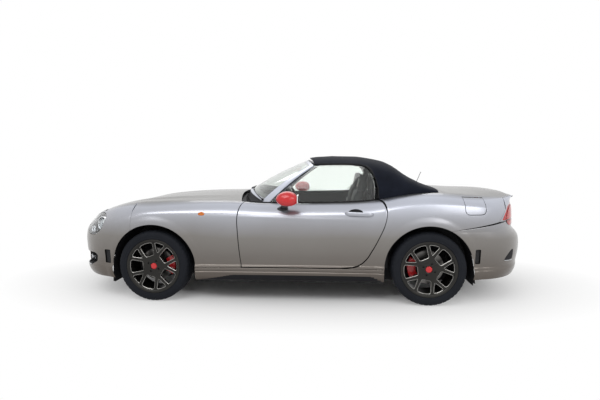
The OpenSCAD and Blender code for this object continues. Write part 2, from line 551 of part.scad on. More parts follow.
// ---- windscreen: s runs across, -1 to 1 at the glass's edges, r from base to header ----
screen_base = [478, 660, 915];   // middle station, half width, middle height
screen_drop = [228, 78];         // how far the base falls back, and down, to its corners
screen_top = [-98, 566, 1203];
screen_fall = [66, 42];
screen_at = function (s, r) let (w = s*s,
    base = [screen_base.x - screen_drop[0]*w, s*screen_base.y, screen_base.z - screen_drop[1]*w],
    head = [screen_top.x - screen_fall[0]*w, s*screen_top.y, screen_top.z - screen_fall[1]*w])
    place(lerp(base, head, r) + [8, 0, 16]*sin(180*clamp01(r)));
pillar_s = 0.93;
pillar_out = 1.055;
header_r = [0.045, 0.95, 1];
module windscreen_frame() color("silver") {
    cols = concat([-pillar_out, -pillar_s], steps(-0.8, 0.8, 6), [pillar_s, pillar_out]);
    rows = concat([0], steps(header_r[0], header_r[1], 7), [header_r[2]]);
    n = len(cols);
    m = len(rows);
    skin(screen_at, cols, rows, flat(frame_t), [-300, 0, 800],
        function (i, j) i > 0 && i < m - 2 && j > 0 && j < n - 2);
}
module windscreen() color("lightblue", 0.4) {
    skin(screen_at, concat([0.001 - pillar_s], steps(-0.8, 0.8, 6), [pillar_s - 0.001]),
        concat([header_r[0] + 0.0015], [for (i = [1:6]) lerp(header_r[0], header_r[1], i/7)],
            [header_r[1] - 0.0015]), flat(glass_t),
        [-300, 0, 800]);
}
// Tray between the bonnet and the glass, with the wipers in it
tray_half = [700, 704];
tray_front = [634, 815.5];       // station and height of its front edge, on the firewall
scuttle_at = function (s, r) let (
    w = pow(s*tray_half[0]/screen_base.y, 2), t = min(1, r),
    base = screen_base.x - screen_drop[0]*w + 0.8, z0 = screen_base.z - screen_drop[1]*w - 1,
    front = lerp(bonnet_back[0], bonnet_back[1], s*s) - shut_gap, z1 = lerp(871, 816, s*s),
    x = lerp(base, front, t), z = lerp(z0, z1, t) - 26*sin(180*t), k = max(0, r - 1))
    place([lerp(x, tray_front[0], k), s*lerp(tray_half[0], tray_half[1], t), lerp(z, tray_front[1], k)]);
module bonnet_hinge_bracket() {
    translate([px(bonnet_pin[0]) - 10, py(bonnet_hinge_y) + 7, pz(bonnet_pin[1]) - 34]) cube([20, 5, 42]);
    translate([px(bonnet_pin[0]), py(bonnet_hinge_y) - 8, pz(bonnet_pin[1])]) rotate([-90, 0, 0])
        cylinder(r = small_pin_r, h = 18);
}
module scuttle() color("black") {
    both_sides() bonnet_hinge_bracket();
    outer = [for (r = [0, 0.25, 0.5, 0.75, 1, 2]) [for (s = steps(-1, 1, 14)) scuttle_at(s, r)]];
    slab(outer, [for (row = outer) [for (p = row) p - [0, 0, skin_t]]]);
}
wiper_y = [[610, -40], [50, -560]];   // pivot and tip of each blade
module wipers() color("black") {
    for (w = wiper_y) {
        s0 = w[0]/screen_base.y;
        s1 = w[1]/screen_base.y;
        p = [for (t = steps(0, 1, 8)) let (s = lerp(s0, s1, t))
            screen_at(s, 0.02 + 0.05*sin(90*t)) + 6.5*normal_at(screen_at, s, 0.03, [0, 0, 500])];
        tube([for (i = [0:len(p) - 1]) let (d = unit(p[min(i + 1, len(p) - 1)] - p[max(i - 1, 0)]),
            n = normal_at(screen_at, 0.2, 0.03, [0, 0, 500]), b = unit(cross(d, n)), c = cross(b, d))
            [for (k = [0:5]) p[i] + 6*(cos(60*k)*b + sin(60*k)*c)]]);
    }
}

// ---- side windows ----
glass_rear_k = [[838, -690], [975, -697], [1040, -684], [1100, -652], [1130, -618], [1150, -560]];
glass_top = 1150;
function glass_front(z) = let (r = (z - 838)/(1161 - 838)) lerp(screen_base.x - screen_drop[0]*1.12,
    screen_top.x - screen_fall[0]*1.12, r)
    - 15 - 8*sin(180*clamp01(r));
function glass_y(z) = lerp(715.4, 606, (z - 838)/(glass_top - 838)) + 9*sin(180*clamp01((z - 838)/(glass_top - 838)));
glass_at = function (a, r) let (z = lerp(815, glass_top, r), zc = max(838, z))
    place([lerp(curve(glass_rear_k, zc), min(glass_front(zc), 225), a), z < 838 ? 715.4 : glass_y(z), z]);
module side_window() color("lightblue", 0.4) {
    skin(glass_at, steps(0, 1, 8), concat([0, 0.07], steps(0.2, 0.9, 5), [0.96, 1]), flat(glass_t),
        [0, 0, 900]);
}

// ---- mirrors ----
mirror_at = [22, 905, 880];
mirror_seat = 0.9;
// Distance of the side from the middle of the car above the shoulder
function turn_y(x, z, a = 1, b = 2, n = 14) = let (m = (a + b)/2, p = side_point(x, 300, m))
    n == 0 ? p.y : p.z < z ? turn_y(x, z, m, b, n - 1) : turn_y(x, z, a, m, n - 1);
module mirror_shell() {
    function ring(t) = let (y = lerp(-78, 86, t), k = pow(max(0.05, 1 - pow(abs(2*t - 1), 2.6)), 0.42))
        [for (i = [0:15]) let (q = 22.5*i, c = cos(q), s = sin(q))
            place(mirror_at + [c > 0 ? 88*c*k + 6 : 52*c*k, y, (s > 0 ? 62 : 58)*s*k + 4])];
    color("red") tube([for (t = steps(0, 1, 9)) ring(t)]);
    color("black") tube([for (t = steps(0, 1, 4)) let (c = lerp([78, 826, 796], [52, 880, 826], t),
        w = lerp(46, 30, t))
        [for (i = [0:9]) let (x = c.x + w*cos(36*i), z = c.z + lerp(18, 14, t)*sin(36*i))
            place([x, lerp(turn_y(x, z) + mirror_seat, c.y, t), z])]]);
}

// ---- folding roof: station x, and an angle over the section from side, 0, to middle, 90 ----
roof_front = [-113, -187];     // front edge in the middle and at the sides
roof_back = -1222;
roof_k = [[-1260, 946], [-1200, 966], [-1141, 988], [-1082, 1016], [-1023, 1049], [-963, 1087],
    [-904, 1133], [-845, 1168],
    [-786, 1192], [-727, 1208], [-608, 1229], [-490, 1238], [-371, 1240], [-251, 1238], [-191, 1233],
        [-112, 1221]];
roof_p = 3.5;
function roof_low_z(x) = crest(min(x, -674)) - 6;
function roof_side_y(x) = edge_y(min(x, -674)) - joint_gap;
// Height of the window opening's edge in the roof
roof_line_k = [[-731, 862], [-722, 975], [-700, 1046], [-664, 1112], [-626, 1144], [-566, 1160],
    [-480, 1166], [-330, 1167], [-170, 1163]];
function roof_line(x) = x < -731 ? roof_low_z(x) : let (
    i = span_of(roof_line_k, x), p = roof_line_k[i], q = roof_line_k[i + 1])
        lerp(p[1], q[1], (x - p[0])/(q[0] - p[0]));
function roof_point(x, h) = let (z0 = roof_low_z(x), z1 = curve(roof_k, x), t = clamp01((h - z0)/(z1 - z0)))
    [x, roof_side_y(x)*pow(1 - pow(t, roof_p), 1/roof_p), h];
// Height reached along the section: rows are spread evenly round its turn
function roof_height(x, r) = let (z0 = roof_low_z(x), z1 = curve(roof_k, x),
    t0 = clamp01((roof_line(x) - z0)/(z1 - z0)),
    q0 = asin(pow(t0, roof_p/2)), q = lerp(q0, 90, r)) [z0 + (z1 - z0)*pow(sin(q), 2/roof_p),
        pow(cos(q), 2/roof_p)];
roof_at = function (s, a) let (r = 1 - abs(s), xs = roof_x(a), w = roof_height(xs, r),
    y = roof_side_y(xs)*w[1],
    lean = (roof_front[0] - roof_front[1])*(1 - pow(y/600, 2))*pow(a, 6))
    place([xs + max(0, lean), s < 0 ? -y : y, w[0] - (curve(roof_k, xs) - curve(roof_k,
        min(roof_front[0], xs + max(0, lean))))*(1 - abs(s))]);
roof_xs = [roof_back, -1150, -1060, -970, -880, -810, -760, -731.5, -722, -700, -664, -626, -566, -480,
    -380, -280, roof_front[1]];
function roof_x(a) = let (n = len(roof_xs) - 1, i = min(n - 1, floor(a*n + 0.00001)), t = a*n - i)
    lerp(roof_xs[i], roof_xs[i + 1], t);
roof_half = [0.1, 0.22, 0.34, 0.46, 0.6, 0.74, 0.88, 1];
roof_cols = concat([for (i = [len(roof_half) - 1:-1:0]) -roof_half[i]], [0], roof_half);
rear_glass = [1, 4, 0.34];   // first and last column, and reach to each side
module soft_top() color("midnightblue") {
    outer = [for (i = [0:len(roof_xs) - 1]) [for (s = roof_cols) roof_at(s, i/(len(roof_xs) - 1))]];
    inner = [for (i = [0:len(roof_xs) - 1]) [for (s = roof_cols)
        let (p = roof_at(s, i/(len(roof_xs) - 1)), c = [p.x*0.5 - 200, 0, 700],
        y1 = p.y - sign(p.y)*cloth_t*ease((abs(s) - 0.4)*3), z1 = p.z - cloth_t*(1 - pow(abs(s), 3)))
        [p.x, y1, z1]]];
    slab(outer, inner, function (i, j) i >= rear_glass[0] && i < rear_glass[1] && within(roof_cols[j],
        -rear_glass[2], rear_glass[2]));
}
module rear_window() color("lightblue", 0.4) {
    n = len(roof_xs) - 1;
    cols = steps(-rear_glass[2] + 0.001, rear_glass[2] - 0.001, 6);
    rows = steps(rear_glass[0]/n + 0.0008, rear_glass[1]/n - 0.0008, 6);
    outer = [for (a = rows) [for (s = cols) roof_at(s, a) - [0, 0, 3]]];
    slab(outer, [for (row = outer) [for (p = row) p - [0, 0, glass_t + 1]]]);
}

// ---- sills ----
function sill_x(a) = lerp(base_rear + arch_r + 4, base_front - arch_r - 4, a);
sill_at = function (a, r) let (z = lerp(190, sill_z - joint_gap, r))
    place([sill_x(a), side_y(sill_x(a), z), z]);
module sills() color("silver") {
    cols = steps(0, 1, 8);
    rows = [0, 0.15, 0.4, 0.7, 1];
    both_sides() slab([for (r = rows) [for (a = cols) sill_at(a, r)]],
        [for (r = rows) [for (a = cols) let (p = sill_at(a, r)) [p.x, py(rocker_y[1]) + joint_gap, p.z]]]);
}

// ---- structure under the skin ----
rocker_y = [640, 741];
floor_top = 176;
floor_t = 10;
well_y = 474;         // inner wall of the front wheel wells
rear_well_y = 600;
well_gap = 14;        // from the arch's edge to the wheel well
rail_y = [392, 452];
// Upper half of a wheel well: its round top and its inner wall, with a window for the upper arm
well_out = 812;
module wheel_well(cx, y0, window) {
    r = arch_r + well_gap;
    depth = py(well_out) - py(y0);
    translate([px(cx), py(y0), hub_z]) rotate([-90, 0, 0]) difference() {
        cylinder(r = r + 5, h = depth);
        translate([0, 0, 5]) cylinder(r = r, h = depth);
        translate([-r - 10, -2, -1]) cube([2*r + 20, r + 20, depth + 2]);
        translate([-r - 10, -110, depth - 100]) cube([2*r + 20, 120, 110]);
        translate([-window, -160, -1]) cube([2*window, 200, 10]);
    }
}
module floor_pan() color("dimgray") {
    difference() {
        union() {
            block([-700, -rocker_y[1], floor_top - floor_t], [640, rocker_y[1], floor_top]);
            both_sides() block([-712, rocker_y[0], floor_top - floor_t], [640, rocker_y[1], 296]);
            block([-700, -142, floor_top - floor_t], [640, 142, 420]);                        // tunnel
            block([628, -rocker_y[1], floor_top - floor_t], [640, rocker_y[1], 805]);         // firewall
            block([-712, -rocker_y[0], floor_top - floor_t], [-700, rocker_y[0], 800]);       // rear bulkhead
            both_sides() block([440, 660, 290], [640, rocker_y[1], 800]);                     // hinge pillar
            both_sides() block([-800, 640, 290], [-700, rocker_y[1], 745]);                   // lock pillar
        }
        block([-720, -130, 100], [660, 130, 408]);
    }
    both_sides() {
        block([640, rail_y[0], 500], [1830, rail_y[1], 580]);
        block([-1850, rail_y[0], 500], [-712, rail_y[1], 560]);
        wheel_well(base_front, well_y, 125);
        wheel_well(base_rear, rear_well_y, 180);
        block([1180, rail_y[1] - 2, 560], [1240, well_y + 2, 570]);
        block([-1300, rail_y[1] - 2, 540], [-1240, rear_well_y + 2, 550]);
    }
    block([1800, -560, 440], [1830, 560, 560]);                                               // front beam
    block([-1850, -600, 460], [-1820, 600, 560]);                                             // rear beam
    block([-1850, -rail_y[1], 560], [-712, rail_y[1], 570]);                                  // boot floor
    both_sides() for (z = hinge_zs) translate([px(hinge_x), py(hinge_y), pz(z)]) {
        for (d = [-25, 17]) translate([0, 0, d]) linear_extrude(8)
            polygon([[-9, -2], [0, 9], [9, -2], [14, -30], [46, -62], [58, -80], [58, -100], [30, -72]]);
        translate([0, 0, -25]) cylinder(r = pin_r, h = 50);
    }
}
module engine() color("gray") {
    block([640.6, -215, 250], [1130, 215, 690]);
}
module exhaust() color("gray") {
    route = [[700, -60, 221.4], [-760, -60, 221.4], [-980, -190, 221.4], [-1330, -200, 221.4],
        [-1600, -300, 290]];
    for (i = [0:3]) let (p = place(route[i]), q = place(route[i + 1])) rod(p, q + 9*unit(q - p), 28 - i);
    block([-1780, -520, 225], [-1580, 60, 380]);
    for (y = [-470, -390]) {
        rod([px(-1700), py(y), pz(250)], [px(-1830), py(y), pz(186)], 30);
        rod([px(-1830), py(y), pz(186)], [px(-1985), py(y), pz(186)], 34);
    }
}

// ---- suspension and steering ----
kingpin_y = 690;      // distance of the steering axis from the middle of the car
kingpin_r = 8;
eye_z = [-125, 101];  // lower ends of the two eyes, from the hub's height
eye_h = 24;
stub_r = 28;
stub_end = 786;
disc_y = [-25.5, -3.5];
disc_clear = 5.5;     // between brake disc and caliper
arm_t = 16;
module arm(cx, z, half) {
    translate([px(cx), 0, hub_z + z]) linear_extrude(arm_t)
        polygon([[-22, kingpin_y + 14], [22, kingpin_y + 14], [half + 12, py(370)], [half - 30, py(370)],
            [0, kingpin_y - 90],
            [30 - half, py(370)], [-half - 12, py(370)]]);
}
module damper(cx, y, top) {
    translate([px(cx), py(y), hub_z + eye_z[0] - arm_t]) cylinder(r = 30,
        h = top - hub_z - eye_z[0] + arm_t);
    translate([px(cx), py(y), hub_z]) cylinder(r = 46, h = top - hub_z - 30);
}
module front_suspension() color("dimgray") {
    block([1030, -385, 160], [1340, 385, 246]);
    both_sides() {
        arm(base_front, eye_z[0] - arm_t - 1, 110);
        arm(base_front, eye_z[1] + eye_h + 1, 90);
        for (z = [eye_z[0] - 10, eye_z[1] - 2]) translate([px(base_front), kingpin_y, hub_z + z])
            cylinder(r = kingpin_r, h = eye_h + 12);
        damper(base_front, 540, 660);
        translate([px(base_front) - 60, py(340), hub_z + eye_z[0] - arm_t - 1])
            cube([120, py(rail_y[0]) - joint_gap - py(340), 380]);
    }
    rod([px(1297), py(-440), hub_z - 40], [px(1297), py(440), hub_z - 40], 22);
}
module front_knuckle() {
    translate([px(base_front), 0, hub_z]) {
        color("gray") difference() {
            union() {
                translate([0, kingpin_y - 16, 0]) rotate([-90, 0, 0])
                    cylinder(r = stub_r, h = stub_end - kingpin_y + 16);
                translate([-26, kingpin_y - 4, eye_z[0]]) cube([52, 22, eye_z[1] - eye_z[0] + eye_h]);
                for (z = eye_z) translate([0, kingpin_y, z]) cylinder(r = 17, h = eye_h);
                translate([0, kingpin_y - 40, -50]) cube([110, 22, 20]);
                translate([-26, kingpin_y - 40, -50]) cube([52, 44, 20]);
                rod([108, kingpin_y - 30, -40], [108, kingpin_y - 70, -40], 8);
            }
            translate([0, kingpin_y, eye_z[0] - 1]) cylinder(r = kingpin_r + pin_fit, h = eye_h + 6);
            translate([0, kingpin_y, eye_z[1] - 6]) cylinder(r = kingpin_r + pin_fit, h = eye_h + 7);
        }
        color("red") brake_caliper(-1, front_track/2, 20);
    }
}
// Caliper round the disc's edge: ahead of the axle with side 1, behind it with side -1
module brake_caliper(side, track_y, root) {
    r0 = disc_r - 46;
    r1 = disc_r + 26;
    a = 32;
    translate([0, track_y, 0]) rotate([-90, 0, 0]) rotate(side > 0 ? 0 : 180) difference() {
        caliper_sector(r0, r1, a, disc_y[0] - 26, disc_y[1] + 22);
        translate([0, 0, disc_y[0] - disc_clear]) cylinder(r = disc_r + disc_clear,
            h = disc_y[1] - disc_y[0] + 2*disc_clear);
    }
    translate([side > 0 ? root : -r0 - 10, track_y + disc_y[0] - 26, -22]) cube([r0 + 10 - root, 10, 44]);
}
module caliper_sector(r0, r1, a, z0, z1) {
    translate([0, 0, z0]) linear_extrude(z1 - z0) intersection() {
        difference() {
            circle(r = r1);
            circle(r = r0);
        }
        polygon([[0, 0], [2*r1, -2*r1*tan(a)], [2*r1, 2*r1*tan(a)]]);
    }
}
module rear_suspension() color("dimgray") {
    block([-1200, -391, 262], [-1050, 391, 320]);
    block([-1200, -110, 240], [-1040, 110, 390]);
    both_sides() {
        arm(base_rear, eye_z[0] - arm_t - 1, 110);
        arm(base_rear, eye_z[1] + eye_h + 1, 90);
        translate([px(base_rear) - 60, py(340), hub_z + eye_z[0] - arm_t - 1])
            cube([120, py(rail_y[0]) - joint_gap - py(340), 380]);
        translate([px(base_rear) - 26, kingpin_y - 4, hub_z + eye_z[0] - 2])
            cube([52, 22, eye_z[1] - eye_z[0] + eye_h + 4]);
        translate([px(base_rear), 0, hub_z]) rotate([-90, 0, 0]) translate([0, 0, py(105)])
            cylinder(r = 15, h = kingpin_y - py(105));
        translate([px(base_rear), kingpin_y - 4, hub_z]) rotate([-90, 0, 0])
            cylinder(r = stub_r, h = stub_end - kingpin_y + 4);
        damper(base_rear + 40, 520, 640);
    }
}
module rear_calipers() color("red") {
    both_sides() translate([px(base_rear), 0, hub_z]) brake_caliper(1, rear_track/2, 28.4);
}

// ---- wheels: drawn about the axle, outer side towards +Y ----
flange_r = rim_r + 15;
spoke_pairs = 5;
module spoke() {
    polygon([[40, -19], [96, -17], [118, -24], [rim_r - 11, -64], [rim_r - 7, -44], [132, -8], [124, 0],
        [132, 8], [rim_r - 7, 44],
        [rim_r - 11, 64], [118, 24], [96, 17], [40, 19]]);
}
module wheel(track_y) {
    translate([0, track_y, 0]) rotate([-90, 0, 0]) {
        color("dimgray") {
            rotate_extrude() polygon([[rim_r - 12, -99], [flange_r, -101], [flange_r, -94], [rim_r, -92],
                [rim_r, 92], [flange_r, 94],
                [flange_r, 101], [rim_r - 8, 100], [rim_r - 12, 60]]);
            difference() {
                union() {
                    translate([0, 0, 56]) linear_extrude(26) for (i = [0:spoke_pairs - 1])
                        rotate(360/spoke_pairs*(i + 0.25)) spoke();
                    translate([0, 0, 46]) cylinder(r = 62, h = 34);
                    translate([0, 0, disc_y[1] - 0.5]) cylinder(r = 76, h = 50);
                }
                translate([0, 0, disc_y[1] - 4]) cylinder(r = 66, h = 34);
                translate([0, 0, -1]) cylinder(r = stub_r + pin_fit, h = stub_end - track_y + 2);
            }
            translate([0, 0, disc_y[0]]) difference() {
                cylinder(r = disc_r, h = disc_y[1] - disc_y[0]);
                translate([0, 0, -1]) cylinder(r = 66, h = 40);
            }
        }
    }
}
module tyre(track_y) color("black") {
    b = tyre_w/2;
    translate([0, track_y, 0]) rotate([-90, 0, 0]) rotate_extrude() polygon([
        [rim_r + seat_gap, -91.7], [flange_r + 0.3, -93.6], [flange_r + 2, -b + 5], [flange_r + 20, -b],
            [tyre_r - 30, -b + 1], [tyre_r - 10, -b + 8],
        [tyre_r - 2, -b + 22], [tyre_r, -b + 42], [tyre_r, b - 42], [tyre_r - 2, b - 22],
            [tyre_r - 10, b - 8], [tyre_r - 30, b - 1],
        [flange_r + 20, b], [flange_r + 2, b - 5], [flange_r + 0.3, 93.6], [rim_r + seat_gap, 91.7],
            [rim_r + seat_gap, 74], [flange_r + 14, 84],
        [tyre_r - 34, 84], [tyre_r - 16, 66], [tyre_r - 16, -66], [tyre_r - 34, -84],
            [flange_r + 14, -84], [rim_r + seat_gap, -74]]);
}
module at_hub(cx) {
    translate([px(cx), 0, hub_z]) children();
}

// ---- cabin ----
seat_x = -190;
module seat_profile(grow) {
    polygon([[230, floor_top + seat_gap + 60], [250, 330 + grow], [210, 352 + grow], [-60, 322 + grow],
        [-200 + grow*1.2, 330 + grow],
        [-300 + grow, 560], [-372 + grow, 820], [-420, 1000], [-470, 1040], [-510, 1020], [-500, 900],
            [-440, 600], [-380, 320],
        [-330, floor_top + seat_gap + 60]]);
}
module seat() {
    w = seat_w/2;
    for (strip = [[-0.55*w, 0.55*w, 0], [-w, -0.55*w, 46], [0.55*w, w, 46]])
        translate([px(seat_x + 60), py(seat_y) + strip[1], 0]) rotate([90, 0, 0])
            linear_extrude(strip[1] - strip[0])
            scale([1, body_height/1240]) intersection() {
                seat_profile(strip[2]);
                translate([-600, 0]) square([1200, strip[2] > 0 ? 940 : 1100]);
            }
    for (s = [-1, 1]) translate([px(seat_x + 60) - 300, py(seat_y) + s*0.7*w - 15, pz(floor_top)])
        cube([520, 30, 62]);
}
module seats() color("black") {
    both_sides() seat();
}
dash_y = 600;
module dashboard() color("black") {
    translate([0, py(dash_y), 0]) rotate([90, 0, 0]) linear_extrude(2*py(dash_y)) polygon([for (p = [
        [612, 560], [604, 772], [430, 780], [300, 806], [236, 786], [250, 700], [330, 620],
            [480, 560]]) [px(p[0]), pz(p[1])]]);
    block([-300, -100, 420.3], [520, 100, 470]);
    block([240, -100, 460], [500, 100, 700]);
    rod([px(150), 0, pz(465)], [px(130), 0, pz(560)], 9);
    translate([px(128), 0, pz(575)]) sphere(r = 24);
    // column, on the right-hand side
    rod(wheel_hub - column_dir*6.5, wheel_hub - column_dir*230, 26);
}
column_tilt = 24;
column_dir = [-cos(column_tilt), 0, sin(column_tilt)];
wheel_hub = [px(120), -py(seat_y), pz(790)];
module steering_wheel() color("black") {
    translate(wheel_hub) rotate([0, column_tilt - 90, 0]) {
        translate([0, 0, 40]) rotate_extrude() translate([steering_r - 14, 0]) circle(r = 14);
        translate([0, 0, -6]) cylinder(r = 40, h = 50);
        for (a = [0, 180, 270]) rotate(a) translate([30, -14, 26]) cube([steering_r - 44, 28, 12]);
    }
}
hoop_r = 18;
hoop_x = -700.5 + hoop_r;
module roll_hoops() color("black") {
    both_sides() {
        for (y = [seat_y - 110, seat_y + 110]) rod([px(hoop_x), py(y), pz(480)],
            [px(hoop_x), py(y), pz(960) + 1], hoop_r - 1);
        translate([px(hoop_x), py(seat_y), pz(960)]) rotate([90, 0, 90]) intersection() {
            rotate_extrude() translate([py(110), 0]) circle(r = hoop_r);
            translate([-200, 0, -40]) cube([400, 200, 80]);
        }
    }
}
module antenna() color("black") {
    foot = place(side_point(-1290, 300, 1.75));
    translate([0, -2*foot.y, 0]) {
        rod(foot + [0, 0, 20], foot + [-56, 0, 152], 3.5);
        translate(foot + [0, 0, 4]) cylinder(r1 = 15, r2 = 8, h = 20);
    }
}

floor_pan();
engine();
exhaust();
front_suspension();
rear_suspension();
rear_calipers();
front_knuckle();  // front_left_knuckle
right_side() front_knuckle();  // front_right_knuckle
at_hub(base_front) wheel(front_track/2);  // front_left_wheel
at_hub(base_front) tyre(front_track/2);  // front_left_tyre
right_side() at_hub(base_front) wheel(front_track/2);  // front_right_wheel
right_side() at_hub(base_front) tyre(front_track/2);  // front_right_tyre
at_hub(base_rear) wheel(rear_track/2);  // rear_left_wheel
at_hub(base_rear) tyre(rear_track/2);  // rear_left_tyre
right_side() at_hub(base_rear) wheel(rear_track/2);  // rear_right_wheel
right_side() at_hub(base_rear) tyre(rear_track/2);  // rear_right_tyre
front_bumper();
headlights();
grille();
bonnet();
wing();  // front_left_wing
right_side() wing();  // front_right_wing
door();  // left_door
right_side() door();  // right_door
side_window();  // left_window
right_side() side_window();  // right_window
mirror_shell();  // left_mirror
right_side() mirror_shell();  // right_mirror
sills();
quarter(true);  // left_quarter
right_side() quarter(false);  // right_quarter
fuel_flap();
rear_deck();
boot_lid();
tail_lights();
rear_bumper();
windscreen_frame();
windscreen();
scuttle();
wipers();
soft_top();
rear_window();
roll_hoops();
antenna();
seats();
dashboard();
steering_wheel();
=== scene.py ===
import math
import bpy
import bmesh
import numpy as np
from mathutils import Vector, Matrix
from mathutils.bvhtree import BVHTree


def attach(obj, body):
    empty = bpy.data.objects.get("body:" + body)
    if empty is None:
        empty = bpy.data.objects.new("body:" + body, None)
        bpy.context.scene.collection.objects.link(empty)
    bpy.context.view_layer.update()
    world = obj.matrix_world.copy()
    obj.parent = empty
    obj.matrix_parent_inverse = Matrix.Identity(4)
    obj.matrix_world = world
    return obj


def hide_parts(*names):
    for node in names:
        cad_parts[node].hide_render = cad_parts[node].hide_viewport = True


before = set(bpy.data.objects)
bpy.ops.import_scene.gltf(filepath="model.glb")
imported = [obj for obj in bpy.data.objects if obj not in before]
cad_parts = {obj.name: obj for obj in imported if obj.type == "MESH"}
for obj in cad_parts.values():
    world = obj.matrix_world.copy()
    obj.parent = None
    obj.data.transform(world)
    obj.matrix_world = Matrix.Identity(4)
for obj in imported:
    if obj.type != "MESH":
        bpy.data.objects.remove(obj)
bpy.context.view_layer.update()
mm = 0.001
print("frame loaded")

# small maths
def lerp(a, b, t):
    return a + (b - a)*t

def clamp01(t):
    return min(1.0, max(0.0, t))

def ease(t):
    c = clamp01(t)
    return c*c*(3 - 2*c)

def cosd(deg):
    return math.cos(math.radians(deg))

def sind(deg):
    return math.sin(math.radians(deg))

def steps(a, b, n):
    return [lerp(a, b, i/n) for i in range(n + 1)]

def circle(n):
    return [2*math.pi*k/n for k in range(n)]

def smoothCurve(knots):
    xs = [k[0] for k in knots]
    ys = [k[1] for k in knots]
    last = len(xs) - 1
    gap = [xs[i + 1] - xs[i] for i in range(last)]
    chord = [(ys[i + 1] - ys[i])/gap[i] for i in range(last)]
    slope = ([chord[0]] + [(chord[i - 1]*gap[i] + chord[i]*gap[i - 1])/(gap[i - 1] + gap[i])
        for i in range(1, last)] + [chord[-1]])
    def value(x):
        i = 0
        while i < last - 1 and x >= xs[i + 1]:
            i += 1
        h = xs[i + 1] - xs[i]
        t = (x - xs[i])/h
        a, b, m, n = ys[i], ys[i + 1], slope[i]*h, slope[i + 1]*h
        if t < 0:
            return a + m*t
        if t > 1:
            return b + n*(t - 1)
        return hermite((a,), (m,), (b,), (n,), t)[0]
    return value

def hermite(p, m, q, n, u):
    w = (2*u**3 - 3*u*u + 1, u**3 - 2*u*u + u, 3*u*u - 2*u**3, u**3 - u*u)
    return tuple(a*w[0] + b*w[1] + c*w[2] + d*w[3] for a, b, c, d in zip(p, m, q, n))

# the car's sizes and surface, in millimetres
car = dict(frontAxle=1187, rearAxle=-1123, nose=2027, hubZ=304, archR=360, tyreR=304, frontTrack=1495,
    rearTrack=1505, shoulder=95, doorInner=752)
hubZ, archR = car["hubZ"], car["archR"]
frontAxle, rearAxle = car["frontAxle"], car["rearAxle"]
cornerLength, cornerPower = 600, 2.5
halfWidth = smoothCurve([[-2030, 856], [-1430, 856], [-1123, 860], [-700, 856], [-300, 849], [100, 847],
    [500, 851], [900, 856], [1187, 858], [1430, 855], [2030, 855]])
sideIn = smoothCurve([[160, -42], [185, -26], [235, -14], [280, -9], [299, -13], [316, -32], [345, -36],
    [420, -28], [520, -15], [620, -5], [690, 0], [735, -6], [785, -22], [850, -62]])
crestZ = smoothCurve([[-1900, 858], [-1733, 880], [-1614, 893], [-1455, 907], [-1295, 920], [-1167, 924],
    [-1030, 915], [-892, 897], [-780, 877], [-674, 860], [-567, 850], [-316, 841], [0, 837], [240, 839],
    [433, 849], [633, 855], [898, 854], [1166, 848], [1410, 832], [1600, 790], [1735, 743], [1860, 682]])
edgeY = smoothCurve([[-1900, 575], [-1733, 608], [-1455, 650], [-1167, 682], [-892, 704], [-674, 714],
    [-316, 716], [100, 716], [433, 712], [633, 706], [898, 695], [1166, 675], [1371, 655], [1600, 620],
    [1735, 575], [1860, 495]])
noseIn = smoothCurve([[160, 110], [185, 62], [220, 27], [276, 10], [369, 3], [453, 0], [537, 5], [590, 20],
    [620, 38], [650, 66], [690, 118], [725, 176], [755, 245], [785, 330], [812, 430], [835, 550]])
tailIn = smoothCurve([[180, 85], [200, 62], [240, 37], [331, 14], [423, 0], [500, 2], [545, 12], [575, 32],
    [600, 56], [625, 68], [660, 71], [800, 76], [860, 82]])
bonnetZ = smoothCurve([[430, 905], [520, 903], [606, 899], [855, 889], [1107, 873], [1234, 862],
    [1362, 848], [1491, 829], [1620, 802], [1750, 766], [1850, 726], [1909, 690]])
deckZ = smoothCurve([[-1960, 850], [-1930, 877], [-1895, 889], [-1836, 899], [-1722, 912], [-1606, 922],
    [-1491, 930], [-1375, 936], [-1262, 941], [-1150, 946]])

def turnIn(t):
    return 1.0 if t <= 0 else 0.0 if t >= 1 else (1 - t**cornerPower)**(1/cornerPower)

def flare(x, z):
    f = math.hypot(x - frontAxle, z - hubZ)
    r = math.hypot(x - rearAxle, z - hubZ)
    return 10*(ease(1 - (f - archR - 18)/60) + ease(1 - (r - archR - 18)/60))

def lifted(x, z):
    return z if z < 640 else min(855, 640 + (z - 640)*210/max(20, crestZ(x) - 640))

def noseAt(z):
    return car["nose"] - noseIn(z)

def tailAt(z):
    return -car["nose"] + tailIn(z)

def sideY(x, z):
    ahead = turnIn((x - noseAt(z) + cornerLength)/cornerLength)
    behind = turnIn((tailAt(z) + cornerLength - x)/cornerLength)
    return (halfWidth(x) + sideIn(lifted(x, z)) + flare(x, z))*ahead*behind

def shoulderZ(x):
    return crestZ(x) - car["shoulder"]

def sidePoint(x, z0, row):
    zs = shoulderZ(x)
    if row <= 1:
        z = lerp(z0, zs, row)
        return (x, sideY(x, z), z)
    y0 = sideY(x, zs)
    lean = (y0 - sideY(x, zs - 8))/8
    reach = (y0 - edgeY(x))*1.15
    p = hermite((y0, zs), (lean*115, 115), (edgeY(x), crestZ(x)), (-reach, 0.05*reach), row - 1)
    return (x, p[0], p[1])

def turnY(x, z):
    if z <= shoulderZ(x):
        return sideY(x, z)
    a, b = 1.0, 2.0
    for i in range(16):
        m = (a + b)/2
        if sidePoint(x, 300, m)[2] < z:
            a = m
        else:
            b = m
    return sidePoint(x, 300, a)[1]

# mesh code
def grid(f, us, vs):
    return np.array([[f(u, v) for u in us] for v in vs], dtype=float)

